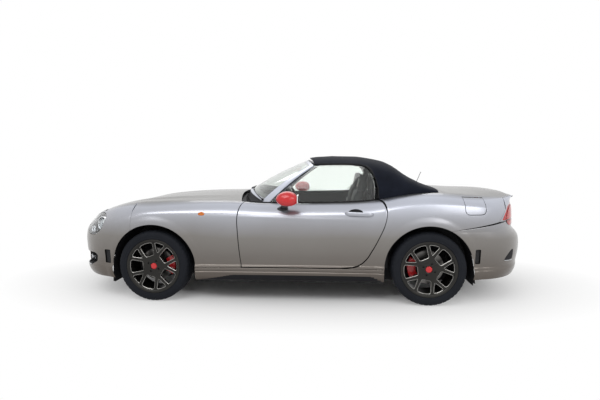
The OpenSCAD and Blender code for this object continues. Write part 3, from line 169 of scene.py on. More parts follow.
def gridNormals(points, centre):
    du = np.gradient(points, axis=1)
    dv = np.gradient(points, axis=0)
    n = np.cross(du, dv)
    n /= np.maximum(np.linalg.norm(n, axis=2, keepdims=True), 1e-9)
    inside = points.copy()
    inside[..., 0] = lerp(points[..., 0], centre[0], 0.3)
    inside[..., 1], inside[..., 2] = centre[1], centre[2]
    side = np.sum(n*(points - inside), axis=2)
    flip = np.where(side < 0, -1.0, 1.0)[..., None]
    return n*flip

def linked(name, data):
    obj = bpy.data.objects.new(name, data)
    bpy.context.scene.collection.objects.link(obj)
    return obj

def newObject(name, verts, faces, materials, faceMaterial=None, angle=32):
    mesh = bpy.data.meshes.new(name)
    mesh.from_pydata([tuple(v) for v in verts], [], faces)
    for m in materials:
        mesh.materials.append(m)
    mesh.validate()
    if faceMaterial is not None:
        mesh.polygons.foreach_set("material_index", faceMaterial)
    obj = linked(name, mesh)
    outward(obj)
    soften(obj, angle)
    return obj

def outward(obj):
    bm = bmesh.new()
    bm.from_mesh(obj.data)
    bmesh.ops.recalc_face_normals(bm, faces=bm.faces)
    bm.to_mesh(obj.data)
    bm.free()

def soften(obj, angle=32):
    obj.data.shade_smooth()
    obj.data.set_sharp_from_angle(angle=math.radians(angle))

def slab(name, outer, inner, materials, innerMaterial=0, hole=None, angle=32):
    r, c = outer.shape[:2]
    n = r*c
    def there(i, j):
        return 0 <= i < r - 1 and 0 <= j < c - 1 and not (hole and hole(i, j))
    faces, kind = [], []
    for i in range(r - 1):
        for j in range(c - 1):
            if not there(i, j):
                continue
            a, b, d, e = i*c + j, i*c + j + 1, (i + 1)*c + j + 1, (i + 1)*c + j
            faces += [(a, b, d, e), (n + a, n + e, n + d, n + b)]
            kind += [0, innerMaterial]
            for ok, p, q in ((there(i - 1, j), a, b), (there(i, j + 1), b, d), (there(i + 1, j), d, e),
                    (there(i, j - 1), e, a)):
                if not ok:
                    faces.append((p, n + p, n + q, q))
                    kind.append(0)
    verts = np.concatenate([outer.reshape(-1, 3), inner.reshape(-1, 3)])*mm
    used = sorted({v for f in faces for v in f})
    place = {v: k for k, v in enumerate(used)}
    faces = [tuple(place[v] for v in f) for f in faces]
    return newObject(name, verts[used], faces, materials, kind, angle)

def rolled(points, normals, depth=1.3):
    # the outermost ring of the grid drops a little, for a rounded panel edge
    out = points.copy()
    ring = np.zeros(points.shape[:2], bool)
    ring[0, :] = ring[-1, :] = True
    ring[:, 0] = ring[:, -1] = True
    out[ring] -= normals[ring]*depth
    return out

def edged(values, inset):
    # stations close to both ends, so that the rolled edge stays narrow
    span = values[-1] - values[0]
    return [values[0], values[0] + inset*span] + [v for v in values[1:-1]
        if inset < (v - values[0])/span < 1 - inset] + [values[-1] - inset*span, values[-1]]

def panel(name, f, us, vs, materials, thick=4, centre=(0, 300, 400), inset=(0.004, 0.006), inner=0,
        press=None, angle=32):
    points = grid(f, edged(us, inset[0]), edged(vs, inset[1]))
    normals = gridNormals(points, centre)
    if press:
        points = points + normals*press(points)[..., None]
    outer = rolled(points, normals)
    return slab(name, outer, points - normals*thick, materials, inner, angle=angle)

def sweep(name, sections, materials, ring=False, closedEnds=True, angle=40):
    n, m = len(sections), len(sections[0])
    verts = np.array(sections, dtype=float).reshape(-1, 3)*mm
    faces = []
    for i in range(n if ring else n - 1):
        for j in range(m):
            k, l = (i + 1) % n, (j + 1) % m
            faces.append((i*m + j, i*m + l, k*m + l, k*m + j))
    if not ring and closedEnds:
        faces += [tuple(range(m)), tuple((n - 1)*m + j for j in reversed(range(m)))]
    return newObject(name, verts, faces, materials, angle=angle)

def pipe(name, points, radius, material, sides=12, flat=1.0):
    # round bar along points, in mm
    pts = [Vector(p) for p in points]
    sections = []
    for i, p in enumerate(pts):
        d = (pts[min(i + 1, len(pts) - 1)] - pts[max(i - 1, 0)]).normalized()
        up = Vector((0, 0, 1)) if abs(d.z) < 0.9 else Vector((1, 0, 0))
        a = d.cross(up).normalized()
        b = a.cross(d)
        r = radius[i] if isinstance(radius, (list, tuple)) else radius
        sections.append([tuple(p + r*(math.cos(t)*a + flat*math.sin(t)*b)) for t in circle(sides)])
    return sweep(name, sections, [material])

def lathe(name, profile, materials, segments=96, centre=(0, 0, 0), wobble=None, angle=35):
    # profile is [(radius, distance along y)], closed on itself
    verts, faces = [], []
    n = len(profile)
    for k in range(segments):
        t = 2*math.pi*k/segments
        for i, (r, d) in enumerate(profile):
            rr = r + (wobble(i, k) if wobble else 0)
            verts.append(((centre[0] + rr*math.cos(t))*mm, (centre[1] + d)*mm,
                (centre[2] + rr*math.sin(t))*mm))
    for k in range(segments):
        l = (k + 1) % segments
        for i in range(n):
            j = (i + 1) % n
            faces.append((k*n + i, k*n + j, l*n + j, l*n + i))
    return newObject(name, verts, faces, materials, angle=angle)

def turned(obj, matrix):
    obj.data.transform(matrix)
    return obj

def joined(name, objs):
    # one mesh from several, materials kept
    target = bpy.data.meshes.new(name)
    bm = bmesh.new()
    slots = []
    for o in objs:
        base = len(bm.faces)
        bm.from_mesh(o.data)
        bm.faces.ensure_lookup_table()
        index = []
        for m in o.data.materials:
            if m not in slots:
                slots.append(m)
            index.append(slots.index(m))
        for f in bm.faces[base:]:
            f.material_index = index[f.material_index] if index else 0
    bm.to_mesh(target)
    bm.free()
    for m in slots:
        target.materials.append(m)
    for o in objs:
        old = o.data
        bpy.data.objects.remove(o)
        bpy.data.meshes.remove(old)
    return linked(name, target)

def mirror(mesh):
    mesh.transform(Matrix.Diagonal((1, -1, 1, 1)))
    mesh.flip_normals()
    return mesh

def mirroredCopy(obj, name):
    return linked(name, mirror(obj.data.copy()))

def prism(name, outline, d0, d1, along="y", material=None):
    # closed prism through the side of the car, outline [(x, z)], or along it, outline [(y, z)]
    n = len(outline)
    verts = [((p*mm, d*mm, z*mm) if along == "y" else (d*mm, p*mm, z*mm)) for d in (d0, d1) for p,
        z in outline]
    faces = [tuple(range(n)), tuple(range(2*n - 1, n - 1, -1))]
    faces += [(i, (i + 1) % n, n + (i + 1) % n, n + i) for i in range(n)]
    return newObject(name, verts, faces, [material] if material else [])

def evaluated(obj):
    bpy.context.view_layer.update()
    return bpy.data.meshes.new_from_object(obj.evaluated_get(bpy.context.evaluated_depsgraph_get()))

def applied(obj, angle=32):
    # the mesh with its modifiers in it
    done, old = evaluated(obj), obj.data
    obj.modifiers.clear()
    obj.data = done
    done.name = obj.name
    bpy.data.meshes.remove(old)
    soften(obj, angle)
    return obj

def bored(obj, cutter, how="DIFFERENCE"):
    mod = obj.modifiers.new("cut", "BOOLEAN")
    mod.operation, mod.solver, mod.object = how, "EXACT", cutter
    mod.material_mode = "TRANSFER"
    applied(obj)
    bpy.data.objects.remove(cutter)
    return obj

def roundOutline(points, n=6, tension=0.5):
    # closed smooth line through the points
    out = []
    k = len(points)
    for i in range(k):
        p0, p1, p2, p3 = (np.array(points[(i + j - 1) % k], float) for j in range(4))
        for s in range(n):
            t = s/n
            m1, m2 = (p2 - p0)*tension, (p3 - p1)*tension
            out.append(hermite(p1, m1, p2, m2, t))
    return out

def grown(outline, d):
    c = np.mean(np.array(outline), axis=0)
    out = []
    n = len(outline)
    for i in range(n):
        a, b = np.array(outline[i - 1]), np.array(outline[(i + 1) % n])
        t = (b - a)/max(np.linalg.norm(b - a), 1e-9)
        normal = np.array([t[1], -t[0]])
        p = np.array(outline[i])
        if np.dot(normal, p - c) < 0:
            normal = -normal
        out.append(tuple(p + normal*d))
    return out

def roundBox(x0, x1, z0, z1, r, lean=0, n=5):
    # rounded rectangle, its top moved along by lean
    out = []
    for cx, cz, a in ((x1 - r, z1 - r, 0), (x0 + r, z1 - r, 90), (x0 + r, z0 + r, 180), (x1 - r, z0 + r,
            270)):
        for k in range(n + 1):
            t = math.radians(a + 90*k/n)
            z = cz + r*math.sin(t)
            out.append((cx + r*math.cos(t) + lean*(z - z0)/(z1 - z0), z))
    return out

def treeOf(obj):
    bm = bmesh.new()
    bm.from_mesh(obj.data)
    tree = BVHTree.FromBMesh(bm)
    bm.free()
    return tree

def skinAt(tree, a, z, along="y"):
    # outer face of a panel met from the side, or from ahead or behind
    if along == "y":
        hit = tree.ray_cast(Vector((a*mm, 1.3, z*mm)), Vector((0, -1, 0)))
    else:
        hit = tree.ray_cast(Vector((3*along, a*mm, z*mm)), Vector((-along, 0, 0)))
    if not hit[0]:
        hit = tree.find_nearest(Vector((a*mm, 0.62, z*mm)) if along == "y" else Vector((1.95*along, a*mm,
            z*mm)))
    return (hit[0]/mm, hit[1])

def recess(name, tree, outline, depths, scales, materials, along="y"):
    # bowl behind an opening: rings of its outline, each deeper and smaller than the one before
    inward = Vector((0, -1, 0)) if along == "y" else Vector((-along, 0, 0))
    skin = [skinAt(tree, p[0], p[1], along)[0] for p in outline]
    mid = sum((Vector(p) for p in skin), Vector())/len(skin)
    verts, faces = [], []
    n = len(outline)
    for d, k in zip(depths, scales):
        for p in skin:
            q = mid + (p - mid)*k + inward*d
            verts.append((q.x*mm, q.y*mm, q.z*mm))
    for i in range(len(depths) - 1):
        for j in range(n):
            faces.append((i*n + j, i*n + (j + 1) % n, (i + 1)*n + (j + 1) % n, (i + 1)*n + j))
    faces.append(tuple((len(depths) - 1)*n + j for j in range(n)))
    return newObject(name, verts, faces, materials, angle=40)

def onBody(obj, body, *nodes):
    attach(obj, body)
    if nodes:
        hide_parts(*nodes)
    return obj

def bothSides(obj, name, leftBody="root", rightBody="root", leftNodes=(), rightNodes=()):
    other = mirroredCopy(obj, name)
    onBody(obj, leftBody, *leftNodes)
    onBody(other, rightBody, *rightNodes)

def shared(obj, name, nodeName):
    # both sides of one CAD node
    bothSides(obj, name, leftNodes=[nodeName], rightNodes=[nodeName])

def onDoors(obj, name, leftNodes=(), rightNodes=()):
    bothSides(obj, name, "left_door", "right_door", leftNodes, rightNodes)

# materials
def mainShader(mat):
    return mat.node_tree.nodes["Principled BSDF"]

def shader(name, color, roughness=0.5, metallic=0.0, coat=0.0, **sockets):
    mat = bpy.data.materials.new(name)
    mat.use_nodes = True
    bsdf = mainShader(mat)
    bsdf.inputs["Base Color"].default_value = (*color, 1)
    bsdf.inputs["Roughness"].default_value = roughness
    bsdf.inputs["Metallic"].default_value = metallic
    bsdf.inputs["Coat Weight"].default_value = coat
    bsdf.inputs["Coat Roughness"].default_value = 0.04
    for key, value in sockets.items():
        bsdf.inputs[key.replace("_", " ")].default_value = value
    return mat

def node(mat, kind, **values):
    n = mat.node_tree.nodes.new(kind)
    for key, value in values.items():
        if key in n.inputs:
            n.inputs[key].default_value = value
        else:
            setattr(n, key, value)
    return n

def link(mat, a, aOut, b, bIn):
    mat.node_tree.links.new(a.outputs[aOut], b.inputs[bIn])

def noiseOn(mat, scale, detail=4, stretch=(1, 1, 1)):
    where = node(mat, "ShaderNodeTexCoord")
    mapping = node(mat, "ShaderNodeMapping", Scale=stretch)
    noise = node(mat, "ShaderNodeTexNoise", Scale=scale, Detail=detail)
    link(mat, where, "Object", mapping, "Vector")
    link(mat, mapping, "Vector", noise, "Vector")
    return noise

def ramp(mat, source, out, low, high, a=0.3, b=0.7):
    r = node(mat, "ShaderNodeValToRGB")
    r.color_ramp.elements[0].position, r.color_ramp.elements[1].position = a, b
    r.color_ramp.elements[0].color = (*low, 1)
    r.color_ramp.elements[1].color = (*high, 1)
    link(mat, source, out, r, "Fac")
    return r

def varied(mat, color, amount=0.06, scale=6, detail=3):
    # slow drift of the base colour
    noise = noiseOn(mat, scale, detail)
    low = tuple(c*(1 - amount) for c in color)
    high = tuple(min(1, c*(1 + amount)) for c in color)
    link(mat, ramp(mat, noise, "Fac", low, high), "Color", mainShader(mat), "Base Color")

def roughened(mat, low, high, scale=40, detail=5, stretch=(1, 1, 1)):
    noise = noiseOn(mat, scale, detail, stretch)
    span = node(mat, "ShaderNodeMapRange")
    span.inputs["To Min"].default_value = low
    span.inputs["To Max"].default_value = high
    link(mat, noise, "Fac", span, "Value")
    link(mat, span, "Result", mainShader(mat), "Roughness")

def bumped(mat, source, out, strength, distance):
    bump = node(mat, "ShaderNodeBump", Strength=strength, Distance=distance)
    link(mat, source, out, bump, "Height")
    link(mat, bump, "Normal", mainShader(mat), "Normal")

# painted reflection and shade: the tones run from dark brown low on the body (painted ground reflection and
# shade) to pale blue-white high up (painted sky reflection); top is a darker painted reflection for faces
# that look upward
paintLook = dict(color=(0.3, 0.3, 0.31), paintedReflectionTones=((0.095, 0.076, 0.062), (0.22, 0.208, 0.195),
    (0.56, 0.59, 0.68)), top=(0.12, 0.115, 0.11), flake=2600, flakeBump=0.035)
clothLook = dict(color=(0.008, 0.010, 0.017), threads=520)
def makePaint(name, color, metallic=0.8, rough=(0.28, 0.36), paintedReflectionTones=None):
    mat = shader(name, color, 0.3, metallic, coat=0.35)
    if paintedReflectionTones:
        # painted reflection: the base colour follows the height, dark brown low down and pale blue-white high
        # up
        where = node(mat, "ShaderNodeTexCoord")
        apart = node(mat, "ShaderNodeSeparateXYZ")
        wander = noiseOn(mat, 1.6, 3)
        shift = node(mat, "ShaderNodeMath", operation="MULTIPLY_ADD")
        shift.inputs[1].default_value = 0.10
        height = node(mat, "ShaderNodeMapRange")
        height.inputs["From Min"].default_value, height.inputs["From Max"].default_value = 0.24, 0.98
        blend = node(mat, "ShaderNodeValToRGB")
        blend.color_ramp.elements[0].color, blend.color_ramp.elements[1].color = (*paintedReflectionTones[0], 1), (*paintedReflectionTones[2],
            1)
        blend.color_ramp.elements.new(0.5).color = (*paintedReflectionTones[1], 1)
        link(mat, where, "Object", apart, "Vector")
        link(mat, wander, "Fac", shift, 0)
        link(mat, apart, "Z", shift, 2)
        link(mat, shift, "Value", height, "Value")
        link(mat, height, "Result", blend, "Fac")
        # painted reflection: faces that look upward, such as the bonnet and boot lid, take the darker top
        # colour
        facing = node(mat, "ShaderNodeNewGeometry")
        upward = node(mat, "ShaderNodeSeparateXYZ")
        flatness = node(mat, "ShaderNodeMapRange")
        flatness.inputs["From Min"].default_value, flatness.inputs["From Max"].default_value = 0.86, 0.99
        shade = node(mat, "ShaderNodeMix", data_type="RGBA")
        shade.inputs[7].default_value = (*paintLook["top"], 1)
        link(mat, facing, "Normal", upward, "Vector")
        link(mat, upward, "Z", flatness, "Value")
        link(mat, flatness, "Result", shade, 0)
        link(mat, blend, "Color", shade, 6)
        link(mat, shade, 2, mainShader(mat), "Base Color")
    else:
        varied(mat, color, 0.035, 2.2, 2)
    roughened(mat, rough[0], rough[1], 18)
    flake = node(mat, "ShaderNodeTexVoronoi", Scale=paintLook["flake"])
    where = node(mat, "ShaderNodeTexCoord")
    link(mat, where, "Object", flake, "Vector")
    bumped(mat, flake, "Distance", paintLook["flakeBump"], 0.0004)
    return mat

silverPaint = makePaint("silverPaint", paintLook["color"], paintedReflectionTones=paintLook["paintedReflectionTones"])
hiddenPaint = makePaint("innerPaint", (0.16, 0.16, 0.17), 0.3, (0.45, 0.6))
redGloss = makePaint("mirrorRed", (0.56, 0.004, 0.008), 0.0, (0.2, 0.28))
caliperRed = makePaint("caliperRed", (0.5, 0.008, 0.012), 0.0, (0.3, 0.42))

def makeCloth(name, color, threads):
    mat = shader(name, color, 0.9, Sheen_Weight=0.06, Sheen_Roughness=0.5, Specular_IOR_Level=0.12)
    varied(mat, color, 0.22, 9, 6)
    where = node(mat, "ShaderNodeTexCoord")
    waves = []
    for direction in ("X", "Y"):
        w = node(mat, "ShaderNodeTexWave", Scale=threads, Distortion=0.6)
        w.bands_direction = direction
        link(mat, where, "Object", w, "Vector")
        waves.append(w)
    both = node(mat, "ShaderNodeMath", operation="MAXIMUM")
    link(mat, waves[0], "Fac", both, 0)
    link(mat, waves[1], "Fac", both, 1)
    bumped(mat, both, "Value", 0.35, 0.0005)
    return mat

roofCloth = makeCloth("roofCloth", clothLook["color"], clothLook["threads"])
liningCloth = makeCloth("roofLining", (0.012, 0.012, 0.014), 300)

def makeGrained(name, color, roughness, scale, strength=0.25, depth=0.0006, metallic=0.0, coat=0.0,
        change=0.12):
    mat = shader(name, color, roughness, metallic, coat)
    if metallic < 0.1:
        mainShader(mat).inputs["Specular IOR Level"].default_value = 0.16
    varied(mat, color, change, 7, 4)
    grain = noiseOn(mat, scale, 6)
    bumped(mat, grain, "Fac", strength, depth)
    return mat

blackPlastic = makeGrained("blackPlastic", (0.010, 0.010, 0.012), 0.6, 900)
glossBlack = makeGrained("glossBlack", (0.012, 0.012, 0.014), 0.14, 60, 0.03, 0.0003, coat=0.6)
rubber = makeGrained("tyreRubber", (0.0095, 0.011, 0.015), 0.7, 500, 0.3, 0.0004)
sealRubber = makeGrained("sealRubber", (0.012, 0.012, 0.013), 0.5, 600)
underCoat = makeGrained("underCoat", (0.03, 0.03, 0.032), 0.75, 260, 0.4, 0.001)
blackSteel = makeGrained("blackSteel", (0.035, 0.035, 0.038), 0.5, 300, metallic=0.5)
castMetal = makeGrained("castMetal", (0.22, 0.22, 0.23), 0.55, 220, 0.4, 0.0008, metallic=0.8)
exhaustSteel = makeGrained("exhaustSteel", (0.42, 0.40, 0.38), 0.35, 90, 0.2, 0.0005, metallic=1.0,
    change=0.2)
darkAlloy = makeGrained("darkAlloy", (0.026, 0.025, 0.023), 0.4, 420, 0.12, 0.0003, metallic=0.75)
machined = makeGrained("machinedAlloy", (0.42, 0.41, 0.39), 0.3, 300, 0.1, 0.0002, metallic=1.0)
chrome = makeGrained("chrome", (0.82, 0.83, 0.85), 0.08, 40, 0.02, 0.0002, metallic=1.0, change=0.03)
satinSilver = makeGrained("satinSilver", (0.5, 0.51, 0.53), 0.3, 300, 0.08, 0.0002, metallic=0.9)
leather = makeGrained("seatLeather", (0.022, 0.022, 0.025), 0.48, 340, 0.5, 0.0008)
paleLeather = makeGrained("paleLeather", (0.42, 0.40, 0.37), 0.5, 340, 0.5, 0.0008)
carpet = makeGrained("carpet", (0.02, 0.02, 0.022), 0.95, 1400, 0.8, 0.0015)

def makeDisc():
    mat = shader("brakeDisc", (0.13, 0.125, 0.12), 0.35, 1.0)
    rings = noiseOn(mat, 90, 3)
    roughened(mat, 0.22, 0.42, 150)
    bumped(mat, rings, "Fac", 0.15, 0.0003)
    return mat

brakeDisc = makeDisc()

def makeGlass(name, color, roughness=0.0, transmission=1.0, change=0.02):
    mat = shader(name, color, roughness, 0.0, Transmission_Weight=transmission, IOR=1.45)
    varied(mat, color, change, 3, 2)
    return mat

clearGlass = makeGlass("clearGlass", (0.86, 0.9, 0.87))
lampGlass = makeGlass("lampGlass", (0.93, 0.95, 0.96))
redLens = makeGlass("redLens", (0.62, 0.012, 0.01), 0.12, 0.25, 0.12)
amberLens = makeGlass("amberLens", (0.8, 0.22, 0.03), 0.15, 0.3, 0.1)
mirrorGlass = makeGrained("mirrorGlass", (0.85, 0.87, 0.88), 0.03, 10, 0.01, 0.0001, metallic=1.0,
    change=0.02)
print("materials made")

# floor, light and camera
def seenDirectly(nodes, links):
    # 1 for camera, see-through and glossy rays
    path = nodes.new("ShaderNodeLightPath")
    last = path.outputs["Is Camera Ray"]
    for ray in ("Is Transmission Ray", "Is Glossy Ray"):
        pick = nodes.new("ShaderNodeMath")
        pick.operation = "MAXIMUM"
        links.new(last, pick.inputs[0])
        links.new(path.outputs[ray], pick.inputs[1])
        last = pick.outputs[0]
    return last

stageLook = dict(floor=(0.86, 0.86, 0.86), world=0.55, key=130, fill=50, back=70)
def makeStage():
    size = 30
    mesh = bpy.data.meshes.new("floor")
    mesh.from_pydata([(-size, -size, 0), (size, -size, 0), (size, size, 0), (-size, size, 0)], [],
        [(0, 1, 2, 3)])
    floor = linked("floor", mesh)
    mat = shader("floorPale", stageLook["floor"], 0.8)
    mesh.materials.append(mat)
    # the camera, glossy and see-through rays meet a floor that fades to white away from the car
    out = mat.node_tree.nodes["Material Output"]
    bsdf = mainShader(mat)
    glow = node(mat, "ShaderNodeEmission", Strength=1.0)
    where = node(mat, "ShaderNodeTexCoord")
    dist = node(mat, "ShaderNodeVectorMath", operation="LENGTH")
    squash = node(mat, "ShaderNodeMapping", Scale=(0.36, 0.72, 1))
    far = node(mat, "ShaderNodeMapRange")
    far.inputs["From Min"].default_value, far.inputs["From Max"].default_value = 0.5, 1.1
    mix = node(mat, "ShaderNodeMixShader")
    seen = node(mat, "ShaderNodeMath", operation="MULTIPLY")
    link(mat, where, "Object", squash, "Vector")
    link(mat, squash, "Vector", dist, 0)
    link(mat, dist, "Value", far, "Value")
    mat.node_tree.links.new(seenDirectly(mat.node_tree.nodes, mat.node_tree.links), seen.inputs[0])
    link(mat, far, "Result", seen, 1)
    link(mat, seen, "Value", mix, "Fac")
    link(mat, bsdf, "BSDF", mix, 1)
    link(mat, glow, "Emission", mix, 2)
    link(mat, mix, "Shader", out, "Surface")
    world = bpy.data.worlds.new("studio")
    bpy.context.scene.world = world
    world.use_nodes = True
    nodes, links = world.node_tree.nodes, world.node_tree.links
    back = nodes["Background"]
    level = nodes.new("ShaderNodeMapRange")
    level.inputs["To Min"].default_value = stageLook["world"]
    level.inputs["To Max"].default_value = 1.0
    links.new(seenDirectly(nodes, links), level.inputs["Value"])
    links.new(level.outputs["Result"], back.inputs["Strength"])
    back.inputs["Color"].default_value = (1, 1, 1, 1)

def areaLight(name, at, to, size, power):
    data = bpy.data.lights.new(name, "AREA")
    data.shape = "RECTANGLE"
    data.size, data.size_y = size
    data.energy = power
    lamp = linked(name, data)
    lamp.location = at
    lamp.rotation_euler = (Vector(to) - Vector(at)).to_track_quat("-Z", "Y").to_euler()

makeStage()
areaLight("keyLight", (1.5, 4.5, 5.0), (0, 0, 0.6), (5.0, 2.5), stageLook["key"])
areaLight("fillLight", (-3.5, 4.0, 3.0), (-0.5, 0, 0.6), (3.0, 2.5), stageLook["fill"])
areaLight("backLight", (0, -4.0, 4.5), (0, 0, 0.8), (6.0, 2.0), stageLook["back"])

cameraView = dict(at=(-0.3424, 4.428, 1.1914), yaw=0.0754, pitch=0.0882, roll=-0.0053, lens=26.4)
def makeCamera():
    data = bpy.data.cameras.new("camera")
    data.sensor_width, data.lens = 36, cameraView["lens"]
    cam = linked("camera", data)
    yaw, pitch = cameraView["yaw"], cameraView["pitch"]
    ahead = Vector((math.sin(yaw)*math.cos(pitch), -math.cos(yaw)*math.cos(pitch), -math.sin(pitch)))
    turn = ahead.to_track_quat("-Z", "Y").to_matrix() @ Matrix.Rotation(cameraView["roll"], 3, "Z")
    cam.matrix_world = Matrix.Translation(Vector(cameraView["at"])) @ turn.to_4x4()
    bpy.context.scene.camera = cam

makeCamera()
bpy.context.scene.view_settings.view_transform = "Standard"
print("stage, lights and camera set")

# shut lines in side view
doorZ, sillZ, panelZ = 307.4, 299.4, 302.4
shutGap, jointGap = 7, 1.2
doorFrontAt = smoothCurve([[290, 425], [378, 438], [500, 447], [615, 452], [700, 454], [760, 448],
    [800, 437], [835, 415], [860, 396]])
doorRearAt = smoothCurve([[307, -405], [311, -470], [320, -525], [338, -566], [367, -600], [455, -658],
    [564, -715], [669, -761], [740, -777], [780, -777], [828, -755], [870, -715]])
wingFrontX, seamDeg, wingSplit = 1371, 118, 0.68

def doorRear(z):
    return doorRearAt(max(307, z))

def onArch(cx, deg):
    return (cx + archR*cosd(deg), hubZ + archR*sind(deg))

def wingFoot(a):
    first = math.degrees(math.acos((wingFrontX - jointGap - frontAxle)/archR))
    if a < wingSplit:
        return onArch(frontAxle, lerp(first, 180, a/wingSplit))
    b = (a - wingSplit)/(1 - wingSplit)
    return (lerp(frontAxle - archR, doorFrontAt(sillZ) + shutGap, b), lerp(hubZ, panelZ, min(1, 8*b)))

def wingBack(z):
    return doorFrontAt(z) + shutGap

def wingHead(a):
    t = a/wingSplit*0.62 if a < wingSplit else 0.62 + 0.38*(a - wingSplit)/(1 - wingSplit)
    return lerp(wingFrontX - jointGap, wingBack(crestZ(404)), t)

def wingAt(a, row):
    f, h, t = wingFoot(a), wingHead(a), min(1, row)
    zb = lerp(sillZ, shoulderZ(404), row) if row <= 1 else lerp(shoulderZ(404), crestZ(404), row - 1)
    straight = lerp(wingBack(sillZ), wingBack(crestZ(404)), t)
    x = lerp(f[0], h, t) + ease((a - 0.5)*2)*(wingBack(zb) - straight)
    return sidePoint(x, f[1], row)

quarterTail, quarterTopX = (-1690, 688), -1765
splitA, splitB = 0.16, 0.62

def quarterFront(z):
    k = clamp01((z - 640)/120)
    return doorRear(z + shutGap*(1 - 2*k)) - shutGap

def quarterFoot(a):
    if a < splitA:
        b = a/splitA
        return (lerp(quarterFront(panelZ), rearAxle + archR, b), lerp(panelZ, hubZ, max(0, 1 - 8*(1 - b))))
    if a < splitB:
        return onArch(rearAxle, lerp(0, seamDeg, (a - splitA)/(splitB - splitA)))
    b, s = (a - splitB)/(1 - splitB), onArch(rearAxle, seamDeg)
    return (lerp(s[0], quarterTail[0], b), lerp(s[1], quarterTail[1], b))

def quarterHead(a):
    x0, x1, x2 = quarterFront(crestZ(-723)), -1000, -1330
    if a < splitA:
        return lerp(x0, x1, a/splitA)
    if a < splitB:
        return lerp(x1, x2, (a - splitA)/(splitB - splitA))
    return lerp(x2, quarterTopX, (a - splitB)/(1 - splitB))

def quarterAt(a, row):
    f, h = quarterFoot(a), quarterHead(a)
    t = max(0, min(1, row))**lerp(1.8, 1, ease((a - 0.35)/0.25))
    zf = lerp(panelZ, shoulderZ(-723), row) if row <= 1 else lerp(shoulderZ(-723), crestZ(-723), row - 1)
    straight = lerp(quarterFront(panelZ), quarterFront(crestZ(-723)), t)
    x = lerp(f[0], h, t) + ease(1 - a/splitA)*(quarterFront(zf) - straight)
    return sidePoint(x, f[1], row)

def doorAt(a, row):
    x1 = lerp(doorRear(700), doorFrontAt(700), a)
    z = lerp(doorZ, shoulderZ(x1), row) if row <= 1 else lerp(shoulderZ(x1), crestZ(x1), row - 1)
    return sidePoint(lerp(doorRear(z), doorFrontAt(z), a), doorZ, row)

# nose
bonnetCorner, bonnetNose = (1735, 575), 1850
def toward(u):
    return max(0, sind(90*u))**(2/cornerPower)

def across(u):
    return max(0, cosd(90*u))**(2/cornerPower)

def archFrontX(z):
    return frontAxle + math.sqrt(max((wingFrontX - frontAxle)**2, archR**2 - (z - hubZ)**2))

def archRearX(z):
    return rearAxle - math.sqrt(max((archR*cosd(seamDeg))**2, archR**2 - (z - hubZ)**2))

def bonnetEdge(u):
    if u <= 0.5:
        x = lerp(wingFrontX, bonnetCorner[0], toward(u)/toward(0.5))
        return (x, edgeY(x), crestZ(x))
    s = across(u)/across(0.5)
    x = bonnetNose - (bonnetNose - bonnetCorner[0])*s**2.2
    return (x, bonnetCorner[1]*s, lerp(bonnetZ(x), crestZ(bonnetCorner[0]), s*s))

def noseShoulder(u):
    return lerp(shoulderZ(wingFrontX), 650, ease(u/0.6))

def cornerFront(u, z):
    x = lerp(archFrontX(z), noseAt(z), toward(u))
    return (x, sideY(x, z), z)

def unitVector(v):
    n = math.sqrt(sum(c*c for c in v)) or 1e-9
    return tuple(c/n for c in v)

def noseRow(u, row):
    zs = noseShoulder(u)
    if row <= 1:
        return cornerFront(u, lerp(200, zs, row))
    p, o, q = cornerFront(u, zs), cornerFront(u, zs - 8), bonnetEdge(u)
    w = math.radians(90*ease((u - 0.35)/0.3))
    reach = math.dist(q, p)*1.1
    m = tuple(c*reach for c in unitVector([p[k] - o[k] for k in range(3)]))
    n = tuple(c*reach for c in (-math.sin(w), -math.cos(w), lerp(0.05, 0.3, ease((u - 0.3)*2))))
    return hermite(p, m, q, n, row - 1)

def noseSurface(s, row):
    p = noseRow(1 - abs(s), row)
    return (p[0], -p[1] if s < 0 else p[1], p[2])

def bonnetAt(s, r):
    xs = lerp(440, bonnetCorner[0], r)
    half = edgeY(xs) - shutGap - max(0, 0.03*(xs - 1600))
    front = bonnetNose - shutGap - (bonnetNose - bonnetCorner[0] + 3)*abs(s)**2.2
    x = lerp(lerp(520, 440, s*s), front, r)
    ridge = math.exp(-((abs(s) - 0.62)/0.10)**2) - 0.5*math.exp(-((abs(s) - 0.8)/0.09)**2)
    return (x, s*half, lerp(bonnetZ(x), crestZ(xs), s*s) + 6*ridge*math.sin(math.pi*min(1, r*1.05)))

# tail
lidU, lidBackSide = 0.5, (-1893, 474, 884)
def seamZ(u):
    return lerp(onArch(rearAxle, seamDeg)[1], quarterTail[1], min(1, toward(u)/0.74))

def cornerRear(u, z, x0):
    x = lerp(x0, tailAt(z), toward(u))
    return (x, sideY(x, z), z)

def bumperRear(s, row):
    u = 1 - abs(s)
    z = lerp(225, seamZ(u) - jointGap, row)
    p = cornerRear(u, z, archRearX(z))
    return (p[0], -p[1] if s < 0 else p[1], p[2])

def tailStart(z):
    up = clamp01((z - quarterTail[1])/(shoulderZ(quarterTopX) - quarterTail[1]))
    return lerp(quarterTail[0], quarterTopX, up) - jointGap

def tailShoulder(u):
    return lerp(shoulderZ(quarterTopX), 842, ease(u/lidU))

def tailRow(u, row):
    zs, z0 = tailShoulder(u), quarterTail[1] + jointGap
    if row <= 1:
        z = lerp(z0, zs, row)
        return cornerRear(u, z, tailStart(z))
    p, o, t = cornerRear(u, zs, tailStart(zs)), cornerRear(u, zs - 8, tailStart(zs - 8)), u/lidU
    a = (quarterTopX - jointGap, edgeY(quarterTopX), crestZ(quarterTopX))
    q = tuple(lerp(a[k], lidBackSide[k], t) for k in range(3))
    reach, w = math.dist(q, p)*1.1, math.radians(70*ease(t))
    m = tuple(c*reach for c in unitVector([p[k] - o[k] for k in range(3)]))
    return hermite(p, m, q, (math.sin(w)*reach, -math.cos(w)*reach, 0.1*reach), row - 1)

